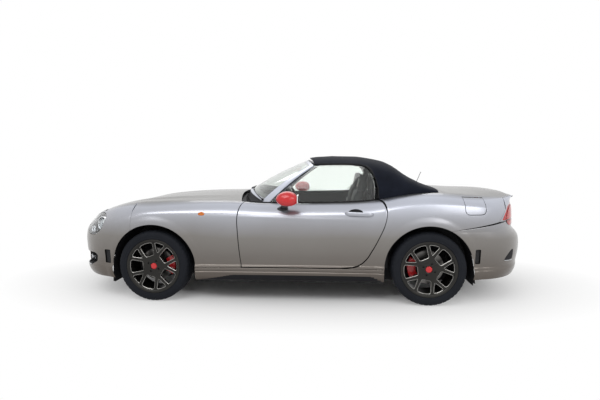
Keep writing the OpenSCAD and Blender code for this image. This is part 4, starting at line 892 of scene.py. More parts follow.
def pastQuarter(x):
    return max(0, (quarterTopX - x)/(quarterTopX - lidBackSide[0]))

def lidSideY(x):
    return lerp(edgeY(max(x, quarterTopX)), lidBackSide[1], pastQuarter(x)) - shutGap

def lidSideZ(x):
    return lerp(crestZ(max(x, quarterTopX)), lidBackSide[2], pastQuarter(x))

stripFront, stripBack = -1228, -1262
lidFront = stripBack - shutGap
lidLook = dict(upturn=17, upturnFrom=-1480, bay=9, bayHalf=265, bayZ=742)
def lidAt(s, r):
    lip = lerp(-1930, lidBackSide[0], s*s)
    def top(x):
        upturn = lidLook["upturn"]*(1 - s**4)*ease((lidLook["upturnFrom"] - x)/330)*(1
            - 0.75*ease((lip + 45 - x)/45))
        return (x, s*lidSideY(x), lerp(deckZ(x), lidSideZ(x), s*s) + upturn)
    if r <= 1:
        return top(lerp(lidFront, lip, r))
    u = 1 - (1 - lidU - 0.012)*abs(s)
    z = lerp(858, quarterTail[1] + shutGap, max(0, (r - 1.15)/0.85))
    p = cornerRear(u, z, tailStart(z))
    q = (p[0], -p[1] if s < 0 else p[1], p[2])
    if r >= 1.15:
        return q
    t = (r - 1)/0.15
    return tuple(lerp(c, d, t) for c, d in zip(top(lip), q))

def deckAt(s, r):
    x = lerp(stripFront, stripBack, r)
    return (x, s*(edgeY(x) - jointGap), lerp(deckZ(x), crestZ(x), s*s))

# body panels
def sideRows(n=40):
    return [0, 0.01, 0.022, 0.036, 0.05, 0.07] + steps(0.1, 1, n) + steps(1.05, 2, 18)

creaseLook = dict(upper=2.6, hollow=3.2)
def sideCrease(points):
    # crease through the upper side, and the hollow above the sill
    x, z = points[..., 0], points[..., 2]
    line = np.interp(x, [-700, -200, 400, 900], [704, 712, 732, 742])
    up = creaseLook["upper"]*np.exp(-((z - line)/12)**2)*np.interp(x, [-700, -500, 300, 650, 850],
        [0, 0.8, 1, 0.4, 0])
    low = creaseLook["hollow"]*np.exp(-((z - 545)/110)**2)*np.interp(x, [-640, -420, 330, 445], [0, 1, 1, 0])
    return up - low

leftWing = panel("frontLeftWing", wingAt, steps(0, wingSplit, 54) + steps(wingSplit + 0.01, 1, 26),
    sideRows(), [silverPaint, hiddenPaint], inner=1, press=sideCrease)
wingTree = treeOf(leftWing)
bothSides(leftWing, "frontRightWing", leftNodes=["front_left_wing"], rightNodes=["front_right_wing"])

leftQuarter = panel("leftQuarter", quarterAt, steps(0, splitA, 16) + steps(splitA + 0.01, splitB, 46)
    + steps(splitB + 0.012, 1, 30), sideRows(38), [silverPaint, hiddenPaint], inner=1)
onBody(mirroredCopy(leftQuarter, "rightQuarter"), "root", "right_quarter")

ventLook = dict(front=(1572, 1632, 322, 440), rear=(-1534, -1488, 352, 472), corner=9, depth=46)
def sideVent(name, tree, edges, panelPiece):
    # black well, and three slats ahead of a dark plate; the panel is cut on both sides
    outline = roundBox(*edges, ventLook["corner"])
    for d0, d1 in ((500, 900), (-900, -500)):
        bored(panelPiece, prism(name + "Cut", outline, d0, d1))
    well = recess(name, tree, grown(outline, 1.5), [3, 12, ventLook["depth"]], [1, 0.99, 0.9], [blackPlastic])
    x0, x1, z0, z1 = edges
    slats = []
    for k in (0.25, 0.5, 0.75):
        z = lerp(z0, z1, k)
        pts = [(x, skinAt(tree, x, z)[0].y - 30, z) for x in steps(x0 + 2, x1 - 2, 6)]
        slats.append(pipe(name + "Slat", pts, 4, blackPlastic, 10, flat=1.6))
    plate = lens(name + "Plate", tree, grown(outline, -3), underCoat, 2, 8, -14)
    return joined(name, [well, plate] + slats)

# front bumper
frontBumper = panel("frontBumper", noseSurface, steps(-1, 1, 132), [0, 0.01, 0.02, 0.04] + steps(0.07, 1,
    44) + steps(1.03, 2, 26), [silverPaint, hiddenPaint], thick=4, centre=(900, 0, 450), inner=1)
noseTree = treeOf(frontBumper)
rearBumper = panel("rearBumper", bumperRear, steps(-1, 1, 120), [0, 0.02, 0.04] + steps(0.07, 1, 50),
    [silverPaint, hiddenPaint], centre=(-900, 0, 450), inner=1, press=lambda p:
    -3.0*np.exp(-((p[..., 2] - 618)/9)**2)*(np.abs(p[..., 1]) < 900))
tailTree = treeOf(rearBumper)

lampLook = dict(outline=[(1852, 640), (1838, 680), (1795, 718), (1735, 738), (1668, 737), (1633, 690),
    (1655, 622), (1716, 572), (1795, 560), (1840, 590)], gap=2.2)
lampOutline = roundOutline(lampLook["outline"], 8)
for d0, d1 in ((440, 900), (-900, -440)):
    bored(frontBumper, prism("lampCut", lampOutline, d0, d1))

def lens(name, tree, outline, material, thick=3, cells=18, lift=-0.6, along="y"):
    # clear cover that follows the body's surface
    o = np.array(outline)
    c = o.mean(axis=0)
    n = len(outline)
    rings = [1.0, 0.995, 0.98] + [lerp(0.95, 0.08, i/cells) for i in range(cells + 1)]
    outer, inner = [], []
    for k in rings:
        a, b = [], []
        for p in o:
            q = c + (p - c)*k
            hit, normal = skinAt(tree, q[0], q[1], along)
            hit = hit + normal*(lift - (0.9 if k == 1 else 0))
            a.append(tuple(hit))
            b.append(tuple(hit - normal*thick))
        outer.append(a)
        inner.append(b)
    verts = np.array(outer + inner, dtype=float).reshape(-1, 3)*mm
    m = len(rings)
    faces = []
    for layer in (0, m):
        for i in range(m - 1):
            for j in range(n):
                p, q, k = (layer + i)*n, (layer + i + 1)*n, (j + 1) % n
                faces.append((p + j, p + k, q + k, q + j))
        faces.append(tuple((layer + m - 1)*n + j for j in range(n)))
    for j in range(n):
        faces.append((j, (j + 1) % n, m*n + (j + 1) % n, m*n + j))
    return newObject(name, verts, faces, [material], angle=50)

headLens = lens("leftLampCover", noseTree, grown(lampOutline, -lampLook["gap"]), lampGlass)
bezel = recess("leftLampBowl", noseTree, grown(lampOutline, 2.5), [3, 10, 34, 62], [1, 0.99, 0.93, 0.82],
    [glossBlack])
def ringOf(name, centre, direction, profile, materials, segments=64):
    # turned part at any place and in any direction
    piece = lathe(name, profile, materials, segments)
    turn = Vector((0, 1, 0)).rotation_difference(Vector(direction).normalized()).to_matrix().to_4x4()
    return turned(piece, Matrix.Translation(Vector(centre)*mm) @ turn)

projectorLook = dict(main=(1690, 655), small=(1790, 600), lean=(0.5, 0.86, 0.06))
lean = Vector(projectorLook["lean"])
lampParts = [bezel]
for (x, z), r in ((projectorLook["main"], 60), (projectorLook["small"], 24)):
    y = skinAt(noseTree, x, z)[0].y
    at = Vector((x, y, z)) - lean*(34 if r > 30 else 26)
    lampParts.append(ringOf("lampRing", at, lean, [(r, -30), (r + 5, -8), (r + 4, 5), (r - 1, 7),
        (r - 4, 2), (r - 7, -26)], [chrome]))
    dome = [(0.01, 0.34*r)] + [((r - 7)*sind(a), 0.34*r*cosd(a)) for a in (15, 30, 45, 60, 75, 88)]
    lampParts.append(ringOf("lampEye", at - lean*6, lean, dome + [(r - 7, -8), (0.01, -8)], [lampGlass]))
    lampParts.append(ringOf("lampBack", at - lean*16, lean, [(0.01, 0), (r*0.4, -4), (r - 8, -2),
        (r - 8, -6), (0.01, -9)], [satinSilver]))
headLamp = joined("leftHeadlight", lampParts)
shared(headLens, "rightLampCover", "headlights")
shared(headLamp, "rightHeadlight", "headlights")

mouthLook = dict(half=345, low=275, high=432, corner=46, bars=5)
mouth = roundBox(-mouthLook["half"], mouthLook["half"], mouthLook["low"], mouthLook["high"],
    mouthLook["corner"])
bored(frontBumper, prism("mouthCut", mouth, 1700, 2200, "x"))
mouthWell = recess("mouthWell", noseTree, grown(mouth, 2), [3, 12, 60], [1, 0.995, 0.97], [blackPlastic],
    along=1)
grilleBars = []
for i in range(mouthLook["bars"]):
    z = lerp(mouthLook["low"] + 24, mouthLook["high"] - 24, i/(mouthLook["bars"] - 1))
    half = mouthLook["half"] - (14 if 0 < i < mouthLook["bars"] - 1 else 22)
    grilleBars.append(pipe("grilleBar", [(skinAt(noseTree, y, z, 1)[0].x - 9, y, z) for y in steps(-half,
        half, 40)], 4.5, glossBlack, 8, flat=1.7))
for y in steps(-300, 300, 12):
    grilleBars.append(pipe("grillePost", [(skinAt(noseTree, y, z, 1)[0].x - 13, y, z)
        for z in steps(mouthLook["low"] + 6, mouthLook["high"] - 6, 8)], 3.2, blackPlastic, 8))
grille = joined("grille", [mouthWell] + grilleBars)
onBody(grille, "root", "grille")

fogLook = dict(edges=(440, 742, 262, 384), corner=34)
fogOutline = [(p[0] + 22*((p[1] - 262)/110), p[1] + 0.06*(p[0] - 430)) for p in roundBox(*fogLook["edges"],
    fogLook["corner"])]
for side in (1, -1):
    outline = [(side*y, z) for y, z in fogOutline]
    bored(frontBumper, prism("fogCut", outline, 1650, 2200, "x"))
fogWell = recess("fogWell", noseTree, grown(fogOutline, 2), [3, 12, 66], [1, 0.99, 0.86], [blackPlastic],
    along=1)
fogParts = [fogWell]
fogX = skinAt(noseTree, 545, 318, 1)[0].x
fogParts.append(ringOf("fogRing", (fogX - 46, 560, 322), (0.9, 0.42, 0), [(33, -20), (38, 0), (36, 8),
    (30, 6), (28, -18)], [satinSilver]))
fogParts.append(ringOf("fogEye", (fogX - 50, 560, 322), (0.9, 0.42, 0), [(0.01, 9), (14, 7.5), (25, 3),
    (31, -4), (31, -8), (0.01, -8)], [lampGlass]))
fogParts.append(pipe("fogLip", [(skinAt(noseTree, y, 268 + 0.06*(y - 430), 1)[0].x - 5, y,
    268 + 0.06*(y - 430)) for y in steps(468, 715, 20)], 5, satinSilver, 10))
fogLamp = joined("leftFogLamp", fogParts)
bothSides(fogLamp, "rightFogLamp")

leftVent = sideVent("frontLeftVent", noseTree, ventLook["front"], frontBumper)
bothSides(leftVent, "frontRightVent")
onBody(frontBumper, "root", "front_bumper")
print("front bumper, lamps and grille made")

rearVent = sideVent("rearLeftVent", tailTree, ventLook["rear"], rearBumper)
bothSides(rearVent, "rearRightVent")
onBody(rearBumper, "root", "rear_bumper")

# fuel flap
flapLook = dict(front=-1397, back=-1572, bottom=752, corner=38)
def flapOutline():
    f, b, lo, c = flapLook["front"], flapLook["back"], flapLook["bottom"], flapLook["corner"]
    out = [(f + 2, 893), (b, 884)]
    out += [(b + c + c*cosd(d), lo + c + c*sind(d)) for d in range(180, 271, 10)]
    return out + [(f - c + c*cosd(d), lo + c + c*sind(d)) for d in range(270, 361, 10)]

flapSkin = linked("fuelFlap", leftQuarter.data.copy())
bored(leftQuarter, prism("flapHole", flapOutline(), 560, 900))
bored(flapSkin, prism("flapCut", grown(flapOutline(), -5), 560, 900), "INTERSECT")
onBody(flapSkin, "fuel_flap", "fuel_flap")
onBody(leftQuarter, "root", "left_quarter")
print("fuel flap made")

# dark reflectors low on the rear corners, with a pale lip
cornerLook = dict(outline=[(-1752, 372), (-1800, 436), (-1838, 452), (-1842, 384), (-1820, 366)])
cornerOutline = roundOutline(cornerLook["outline"], 6)
lipPoints = [tuple(skinAt(tailTree, lerp(-1750, -1838, t), lerp(366, 358, t))[0] + Vector((0, 1, 0)))
    for t in steps(0, 1, 10)]
cornerPlate = lens("leftCornerVent", tailTree, cornerOutline, blackPlastic, 4, 10, 0.4)
cornerVent = joined("leftCornerVent", [cornerPlate, pipe("cornerLip", lipPoints, 3.6, satinSilver, 10)])
bothSides(cornerVent, "rightCornerVent")

# doors
doorLook = dict(handle=(-442, -668, 758), handleOut=30, bowlAt=(-528, 768), bowlHalf=(60, 28), trimTop=720)
doorUs = [0, 0.004] + steps(0.012, 0.05, 4) + steps(0.06, 0.94, 76) + steps(0.955, 1, 6)
doorVs = [0, 0.006, 0.014, 0.026, 0.04, 0.06, 0.075] + steps(0.1, 1, 44) + steps(1.05, 1.9, 18) + [1.93,
    1.96, 2]
doorPoints = grid(doorAt, doorUs, doorVs)
doorNormals = gridNormals(doorPoints, (0, 300, 400))
doorOuter = rolled(doorPoints + doorNormals*sideCrease(doorPoints)[..., None], doorNormals)
doorInner = doorPoints - doorNormals*4
for i, v in enumerate(doorVs):
    for j, u in enumerate(doorUs):
        if 0.03 <= u <= 0.92 and 0.07 <= v <= 1.9:
            # the trim's face, with a shallow pocket pressed into it
            x, z = doorPoints[i, j, 0], doorPoints[i, j, 2]
            y = car["doorInner"] if v <= 1 else lerp(car["doorInner"], doorLook["trimTop"], (v - 1)/0.9)
            drop = 0 if v <= 1 else 20
            y += 7*math.exp(-((z - 430)/60)**4)*ease((330 - x)/60)*ease((x + 480)/60)
            doorInner[i, j] = (x, y, z - drop)
leftDoor = slab("leftDoor", doorOuter, doorInner, [silverPaint, blackPlastic], 1)
doorTree = treeOf(leftDoor)
x0, x1, zh = doorLook["handle"]
handleSections = []
for i in range(31):
    t = i/30
    x = lerp(x0 + 6, x1 - 6, t)
    z = zh + 5 - 9*t
    y = skinAt(doorTree, x, z)[0].y
    reach = (1 - abs(2*t - 1)**6)
    out = y - 10 + doorLook["handleOut"]*reach
    half = 17*(0.55 + 0.45*reach) if t > 0 else 7
    thick = 7.5 if reach > 0.4 else 9
    handleSections.append([(x, out + thick*math.cos(a), z + half*math.sin(a)) for a in circle(16)])
handle = sweep("leftDoorHandle", handleSections, [silverPaint])
bowl, (cx, cz), (bx, bz) = [], doorLook["bowlAt"], doorLook["bowlHalf"]
for r in (1.0, 0.86, 0.6, 0.3, 0.05):
    hits = [skinAt(doorTree, cx + bx*r*math.cos(a), cz + bz*r*math.sin(a)) for a in circle(40)]
    bowl.append([tuple(hit + normal*0.35) for hit, normal in hits])
bowlBack = [[(p[0], p[1] - 1.5, p[2]) for p in ring] for ring in reversed(bowl)]
handleBowl = sweep("leftHandleBowl", bowl + bowlBack, [blackPlastic], ring=True)
onBody(mirroredCopy(leftDoor, "rightDoor"), "right_door", "right_door")
onBody(leftDoor, "left_door", "left_door")
onDoors(handle, "rightDoorHandle")
onDoors(handleBowl, "rightHandleBowl")

# inside of the door: armrest, pull, speaker ring
armrest = pipe("leftArmrest", [(x, 752 - 20*ease((x + 430)/120)*ease((250 - x)/120),
    600 + 20*ease((x - 40)/200)) for x in steps(-430, 250, 30)], [lerp(10, 24, ease(min(i, 30 - i)/5))
    for i in range(31)], leather, 16)
pull = pipe("leftDoorPull", [(lerp(-40, 120, t), 752 - 34*math.sin(math.pi*t), 690 + 10*t) for t in steps(0,
    1, 16)], 8, satinSilver, 12)
speaker = lathe("leftSpeaker", [(0.01, -6), (60, -6), (70, -4), (78, 0), (78, 6), (0.01, 6)],
    [blackPlastic], 48, (300, 748, 400))
inner = joined("leftDoorTrim", [armrest, pull, speaker])
onDoors(inner, "rightDoorTrim")

# side windows, with their waist seals
glassRear = smoothCurve([[838, -690], [975, -697], [1040, -684], [1100, -652], [1130, -618], [1150, -560]])
screenBase, screenDrop, screenTop, screenFall = (478, 660, 915), (228, 78), (-98, 566, 1203), (66, 42)
glassTop, waistZ, waistY = 1150, 838, 715.4
def glassFront(z):
    r = (z - waistZ)/(1161 - waistZ)
    return lerp(screenBase[0] - screenDrop[0]*1.12, screenTop[0] - screenFall[0]*1.12,
        r) - 15 - 8*math.sin(math.pi*clamp01(r))

def glassY(z):
    r = (z - waistZ)/(glassTop - waistZ)
    return lerp(waistY, 606, r) + 9*math.sin(math.pi*clamp01(r))

def glassAt(a, r):
    z = lerp(815, glassTop, r)
    zc = max(waistZ, z)
    return (lerp(glassRear(zc), min(glassFront(zc), 225), a), glassY(zc), z)

leftWindow = panel("leftWindow", glassAt, steps(0, 1, 40), [0, 0.035, 0.07] + steps(0.1, 1, 36),
    [clearGlass], thick=4, centre=(0, 0, 900))
onDoors(leftWindow, "rightWindow", ["left_window"], ["right_window"])
def beltPoint(x, up=0, out=0):
    return (x, edgeY(x) + out, crestZ(x) + up)

waistSeal = pipe("leftWaistSeal", [beltPoint(x, 2.5, 1.5) for x in steps(-700, 372, 60)], 5, sealRubber, 12,
    flat=1.2)
onDoors(waistSeal, "rightWaistSeal")

# mirrors
mirrorAt, mirrorSeat = (22, 905, 880), 0.9
def mirrorRing(t, scale=1.0, n=40):
    y = lerp(-78, 86, t)
    k = max(0.05, 1 - abs(2*t - 1)**2.6)**0.42*scale
    out = []
    for i in range(n):
        q = 2*math.pi*i/n
        c, s = math.cos(q), math.sin(q)
        out.append((mirrorAt[0] + (96 if c > 0 else 86)*c*k*(1 - 0.10*s*(c < 0)), mirrorAt[1] + y,
            mirrorAt[2] + (64 if s > 0 else 58)*s*k + 6))
    return out

mirrorTs = [0, 0.004, 0.012, 0.03, 0.06] + steps(0.1, 0.9, 22) + [0.94, 0.97, 0.988, 0.996, 1]
mirrorShell = sweep("leftMirrorShell", [mirrorRing(t, 0.995) for t in mirrorTs], [redGloss], angle=60)
def squared(t):
    return math.copysign(abs(t)**0.7, t)

face = []
for k, x in ((0.80, -56), (0.84, -62.5), (0.76, -64.5), (0.3, -65), (0.02, -65)):
    face.append([(x, mirrorAt[1] + 2 + 74*k*squared(math.cos(a)), mirrorAt[2] + 4
        + 50*k*squared(math.sin(a))) for a in circle(40)])
mirrorFace = sweep("leftMirrorGlass", face, [mirrorGlass], angle=30)
baseSections = []
for t in steps(0, 1, 14):
    c = [lerp(a, b, t) for a, b in zip((78, 826, 796), (52, 880, 826))]
    w, h = lerp(46, 30, t), lerp(18, 14, t)
    ring = [(c[0] + w*math.cos(a), c[2] + h*math.sin(a)) for a in circle(28)]
    baseSections.append([(x, lerp(turnY(x, z) + mirrorSeat, c[1], t), z) for x, z in ring])
mirrorBase = sweep("leftMirrorBase", baseSections, [glossBlack], angle=60)
band = sweep("leftMirrorBand", [mirrorRing(t, k) for t, k in ((0.03, 0.93), (0.05, 1.0), (0.16, 1.0),
    (0.18, 0.96))], [glossBlack], angle=60)
onDoors(mirrorShell, "rightMirrorShell", ["left_mirror"], ["right_mirror"])
onDoors(mirrorFace, "rightMirrorGlass")
onDoors(mirrorBase, "rightMirrorBase")
onDoors(band, "rightMirrorBand")
print("doors, windows and mirrors made")

# sills
def sillAt(a, r):
    x = lerp(rearAxle + archR + 4, frontAxle - archR - 4, a)
    z = lerp(190, sillZ - 0.6, r)
    return (x, sideY(x, z), z)

def sillPress(points):
    z = points[..., 2]
    return -5*np.exp(-((z - 268)/5)**2) - 7*np.exp(-((z - 196)/14)**2)

sill = panel("leftSill", sillAt, steps(0, 1, 60), steps(0, 1, 44), [silverPaint, underCoat, blackPlastic],
    thick=20, centre=(0, 0, 250), inner=1, press=sillPress)
# painted shade: the sill's lower faces, below a line that rises toward the middle of the sill, take black
# plastic for the shaded underside
for f in sill.data.polygons:
    x, z = f.center.x/mm, f.center.z/mm
    if f.material_index == 0 and z < 196 + 44*ease((790 - x)/330)*ease((x + 760)/120):
        f.material_index = 2
skirt = pipe("leftSkirt", [(x, sideY(x, 190) - 22, 196) for x in steps(-755, 815, 60)], 15, underCoat, 12,
    flat=0.8)
onBody(mirroredCopy(skirt, "rightSkirt"), "root")
onBody(skirt, "root")
shared(sill, "rightSill", "sills")

# bonnet
bonnetSs = steps(-1, 1, 88)
bonnetPanel = panel("bonnet", bonnetAt, bonnetSs, [0, 0.005, 0.012] + steps(0.025, 0.975, 66) + [0.988,
    0.995, 1], [silverPaint, hiddenPaint], thick=5, centre=(1100, 0, 300), inner=1)
ribs = []
for y in (-420, -210, 0, 210, 420):
    s = y/640
    ribs.append(pipe("bonnetRib", [tuple(np.array(bonnetAt(s, r)) - (0, 0, 13)) for r in steps(0.08, 0.9,
        24)], 8, hiddenPaint, 8, flat=0.8))
bonnetPanel = joined("bonnetPanel", [bonnetPanel] + ribs)
soften(bonnetPanel)
onBody(bonnetPanel, "bonnet", "bonnet")

# tail: panels round the lamps, lamps, boot lid
lampU, lampRows = (0.03, 0.42), (0.08, 1.2)

tailUs = steps(0, lampU[0], 3)[:-1] + steps(lampU[0], lampU[1], 40) + steps(lampU[1] + 0.01, lidU, 8)
tailVs = steps(0, lampRows[0], 4)[:-1] + steps(lampRows[0], lampRows[1], 44) + steps(lampRows[1] + 0.03, 2,
    24)
tailPoints = grid(tailRow, tailUs, tailVs)
tailNormals = gridNormals(tailPoints, (-900, 0, 450))
def inLamp(i, j):
    u, v = (tailUs[j] + tailUs[j + 1])/2, (tailVs[i] + tailVs[i + 1])/2
    a, b = (u - sum(lampU)/2)/((lampU[1] - lampU[0])/2), (v - sum(lampRows)/2)/((lampRows[1] - lampRows[0])/2)
    return abs(a)**9 + abs(b)**9 < 1.0 and max(abs(a), abs(b)) < 1

rearDeck = slab("leftRearCorner", rolled(tailPoints, tailNormals), tailPoints - tailNormals*4,
    [silverPaint, hiddenPaint], 1, hole=inLamp)
shared(rearDeck, "rightRearCorner", "rear_deck")
lampGrid = grid(tailRow, steps(lampU[0] + 0.002, lampU[1] - 0.002, 44), steps(lampRows[0] + 0.008,
    lampRows[1] - 0.012, 48))
lampNormals = gridNormals(lampGrid, (-900, 0, 450))
tailLens = slab("leftTailLens", rolled(lampGrid, lampNormals, 2.5), lampGrid - lampNormals*5, [redLens])
backGrid = lampGrid - lampNormals*30
tailBowl = slab("leftTailBowl", backGrid, backGrid - lampNormals*6, [satinSilver])
glow = []
for cu, cr, r, mat in ((0.16, 0.42, 36, redLens), (0.3, 0.42, 30, redLens), (0.2, 0.88, 26, amberLens),
        (0.33, 0.85, 22, lampGlass)):
    p = Vector(tailRow(cu, cr))
    q, s = Vector(tailRow(cu + 0.01, cr)), Vector(tailRow(cu, cr + 0.01))
    n = (q - p).cross(s - p).normalized()
    if n.dot(p - Vector((-900, 0, 450))) < 0:
        n = -n
    glow.append(ringOf("tailRing", p - n*17, n, [(r, -10), (r + 3, 0), (r + 2, 4), (r - 2, 3), (r - 4, -8)],
        [satinSilver], segments=40))
    glow.append(ringOf("tailEye", p - n*17, n, [(0.01, 3), (r*0.5, 2), (r - 5, -3), (r - 5, -8),
        (0.01, -8)], [mat], segments=40))
tailInner = joined("leftTailInner", [tailBowl] + glow)
shared(tailLens, "rightTailLens", "tail_lights")
shared(tailInner, "rightTailInner", "tail_lights")

deckStrip = panel("rearDeckStrip", deckAt, steps(-1, 1, 80), steps(0, 1, 6), [silverPaint, hiddenPaint],
    thick=5, centre=(-1200, 0, 300), inner=1)
onBody(deckStrip, "root", "rear_deck")

lidRows = [0, 0.01, 0.02] + steps(0.04, 0.96, 36) + [0.975, 0.988, 1, 1.02, 1.05, 1.1, 1.15] + steps(1.18,
    1.96, 26) + [1.98, 2]
def lidPress(points):
    # shallow bay across the tail
    y, z = points[..., 1], points[..., 2]
    wide = np.clip(1 - (np.abs(y)/lidLook["bayHalf"])**14, 0, 1)
    return -lidLook["bay"]*wide*np.exp(-((z - lidLook["bayZ"])/38)**8)*(z < 850)

bootLid = panel("bootLid", lidAt, steps(-1, 1, 96), lidRows, [silverPaint, hiddenPaint], thick=4,
    centre=(-1500, 0, 500), inner=1, press=lidPress)
onBody(bootLid, "boot_lid", "boot_lid")
stopLamp = lens("stopLamp", treeOf(bootLid), roundBox(-150, 150, 858, 868, 4.5), redLens, 3, 4, 1.0, -1)
onBody(stopLamp, "boot_lid")
print("sills, bonnet and tail made")

wrapLook = dict(outline=[(-1772, 712), (-1784, 672), (-1826, 646), (-1868, 648), (-1896, 668), (-1905, 742),
    (-1898, 800), (-1850, 808), (-1802, 776)])
def treeAcross(*objs):
    verts, faces = [], []
    for obj in objs:
        base = len(verts)
        verts += [v.co.copy() for v in obj.data.vertices]
        faces += [[base + i for i in p.vertices] for p in obj.data.polygons]
    return BVHTree.FromPolygons([tuple(v) for v in verts], faces)

cornerTree = treeAcross(rearDeck, tailLens, rearBumper)
wrapOutline = roundOutline(wrapLook["outline"], 7)
wrapRim = lens("leftLampRim", cornerTree, grown(wrapOutline, 5), glossBlack, 3, 10, 1.4)
wrapGlass = lens("leftLampGlass", cornerTree, wrapOutline, redLens, 4, 16, 4.2)
shared(wrapRim, "rightLampRim", "tail_lights")
shared(wrapGlass, "rightLampGlass", "tail_lights")

# windscreen, its frame, the tray and the wipers
pillarS, pillarOut, headerR = 0.93, 1.055, (0.045, 0.95, 1)
def screenAt(s, r):
    w = s*s
    base = (screenBase[0] - screenDrop[0]*w, s*screenBase[1], screenBase[2] - screenDrop[1]*w)
    head = (screenTop[0] - screenFall[0]*w, s*screenTop[1], screenTop[2] - screenFall[1]*w)
    k = math.sin(math.pi*clamp01(r))
    return tuple(lerp(a, b, r) + c*k for a, b, c in zip(base, head, (8, 0, 16)))

def screenNormal(s, r):
    a = Vector(screenAt(s + 0.01, r)) - Vector(screenAt(s - 0.01, r))
    b = Vector(screenAt(s, r + 0.01)) - Vector(screenAt(s, r - 0.01))
    n = a.cross(b).normalized()
    return n if n.x > 0 else -n

frameSs = [-pillarOut, -1.045, -1.03, -1.0, -0.965, -0.94, -pillarS] + steps(-0.9, 0.9, 36) + [pillarS,
    0.94, 0.965, 1.0, 1.03, 1.045, pillarOut]
frameRs = [0, 0.015, 0.03, headerR[0]] + steps(0.07, 0.93, 40) + [headerR[1], 0.96, 0.975, 0.99, 1]
framePoints = grid(screenAt, frameSs, frameRs)
frameNormals = gridNormals(framePoints, (-300, 0, 800))
edge = np.zeros(framePoints.shape[:2])
for j, s in enumerate(frameSs):
    if abs(s) > pillarS:
        # the pillar's rounded face
        edge[:, j] = -4.5*((abs(s) - 0.9925)/0.0625)**4
def inGlass(i, j):
    r, s = frameRs[i] + 0.001, frameSs[j] + 0.001
    return headerR[0] <= r < headerR[1] and -pillarS <= s < pillarS

frameOuter, frameInner = framePoints + frameNormals*edge[..., None], framePoints - frameNormals*26
screenFrame = slab("screenFrame", frameOuter, frameInner, [silverPaint, blackPlastic], 1, hole=inGlass)
onBody(screenFrame, "root", "windscreen_frame")
glassSs = steps(0.002 - pillarS, pillarS - 0.002, 60)
glassRs = steps(headerR[0] + 0.002, headerR[1] - 0.002, 44)
glassPoints = grid(screenAt, glassSs, glassRs)
glassNormals = gridNormals(glassPoints, (-300, 0, 800))
screenGlass = slab("windscreen", glassPoints, glassPoints - glassNormals*4.5, [clearGlass])
onBody(screenGlass, "root", "windscreen")
# dark band behind the glass
frit = slab("windscreenBand", glassPoints - glassNormals*5.2, glassPoints - glassNormals*6.4, [glossBlack],
    hole=lambda i, j: 4 <= i < 56 and 3 <= j < 77)
onBody(frit, "root")
seal = [pipe("screenSeal", [tuple(Vector(screenAt(sign*1.05, r)) - screenNormal(sign, r)*17)
    for r in steps(0.03, 0.99, 30)], 7, sealRubber, 12) for sign in (1, -1)]
screenSeals = joined("screenSeals", seal)
onBody(screenSeals, "root")

trayHalf, trayFront = (700, 704), (634, 815.5)
def scuttleAt(s, r):
    w = (s*trayHalf[0]/screenBase[1])**2
    t = min(1, r)
    base, z0 = screenBase[0] - screenDrop[0]*w + 0.8, screenBase[2] - screenDrop[1]*w - 1
    front, z1 = lerp(520, 440, s*s) - shutGap, lerp(871, 816, s*s)
    x, z = lerp(base, front, t), lerp(z0, z1, t) - 26*math.sin(math.pi*t)
    k = max(0, r - 1)
    return (lerp(x, trayFront[0], k), s*lerp(trayHalf[0], trayHalf[1], t), lerp(z, trayFront[1], k))

trayPoints = grid(scuttleAt, steps(-1, 1, 64), steps(0, 1, 20) + steps(1.1, 2, 8))
scuttle = slab("scuttleTray", trayPoints, trayPoints - np.array([0, 0, 9.0]), [blackPlastic])
slots = [pipe("traySlot", [tuple(np.array(scuttleAt(s, r)) + (0, 0, 1.5)) for r in steps(0.42, 0.72, 6)],
    2.6, sealRubber, 8) for s in steps(-0.86, 0.86, 56)]
scuttle = joined("scuttle", [scuttle] + slots)
soften(scuttle, 40)
onBody(scuttle, "root", "scuttle")

def wiper(name, y0, y1):
    s0, s1 = y0/screenBase[1], y1/screenBase[1]
    arm, blade, rail = [], [], []
    for t in steps(0, 1, 30):
        s = lerp(s0, s1, t)
        r = 0.02 + 0.05*math.sin(math.pi/2*t)
        n = screenNormal(s, r)
        p = Vector(screenAt(s, r))
        arm.append(tuple(p + n*lerp(8.5, 10, t)))
        if t > 0.18:
            blade.append(tuple(p + n*3.2))
            rail.append(tuple(p + n*6.2))
    parts = [pipe(name, arm[:20], [lerp(5, 2.4, i/19) for i in range(20)], blackSteel, 12),
        pipe(name, blade, 1.6, sealRubber, 8, flat=2.2), pipe(name, rail, 2.2, blackPlastic, 8)]
    foot = Vector(screenAt(s0, 0.02)) + screenNormal(s0, 0.02)*5
    parts.append(ringOf(name, foot, screenNormal(s0, 0.02), [(0.01, 5), (8, 4), (11, 0), (11, -12),
        (0.01, -12)], [blackPlastic], segments=32))
    return joined(name, parts)

wiperSpans = ((610, -40), (50, -560))
wipers = joined("wipers", [wiper("wiper", *span) for span in wiperSpans])
onBody(wipers, "root", "wipers")

# soft top: one cloth sheet held tight over three bows
roofLook = dict(bows=(-330, -560, -800), sag=2.6, flat=(1.42, 1.16), area=1.32)
roofFront, roofBack, roofP = (-113, -187), -1222, 3.5
roofTop = smoothCurve([[-1260, 946], [-1200, 966], [-1141, 988], [-1082, 1016], [-1023, 1049], [-963, 1087],
    [-904, 1133], [-845, 1168], [-786, 1192], [-727, 1208], [-608, 1229], [-490, 1238], [-371, 1240],
    [-251, 1238], [-191, 1233], [-112, 1221]])
roofLineK = [[-731, 862], [-722, 975], [-700, 1046], [-664, 1112], [-626, 1144], [-566, 1160], [-480, 1166],
    [-330, 1167], [-170, 1163]]
roofXs = [roofBack, -1150, -1060, -970, -880, -810, -760, -731.5, -722, -700, -664, -626, -566, -480, -380,
    -280, roofFront[1]]
def roofLow(x):
    return crestZ(min(x, -674)) - 6

def roofSide(x):
    return edgeY(min(x, -674)) - 0.6

def roofLine(x):
    if x < -731:
        return roofLow(x)
    return float(np.interp(x, [k[0] for k in roofLineK], [k[1] for k in roofLineK]))

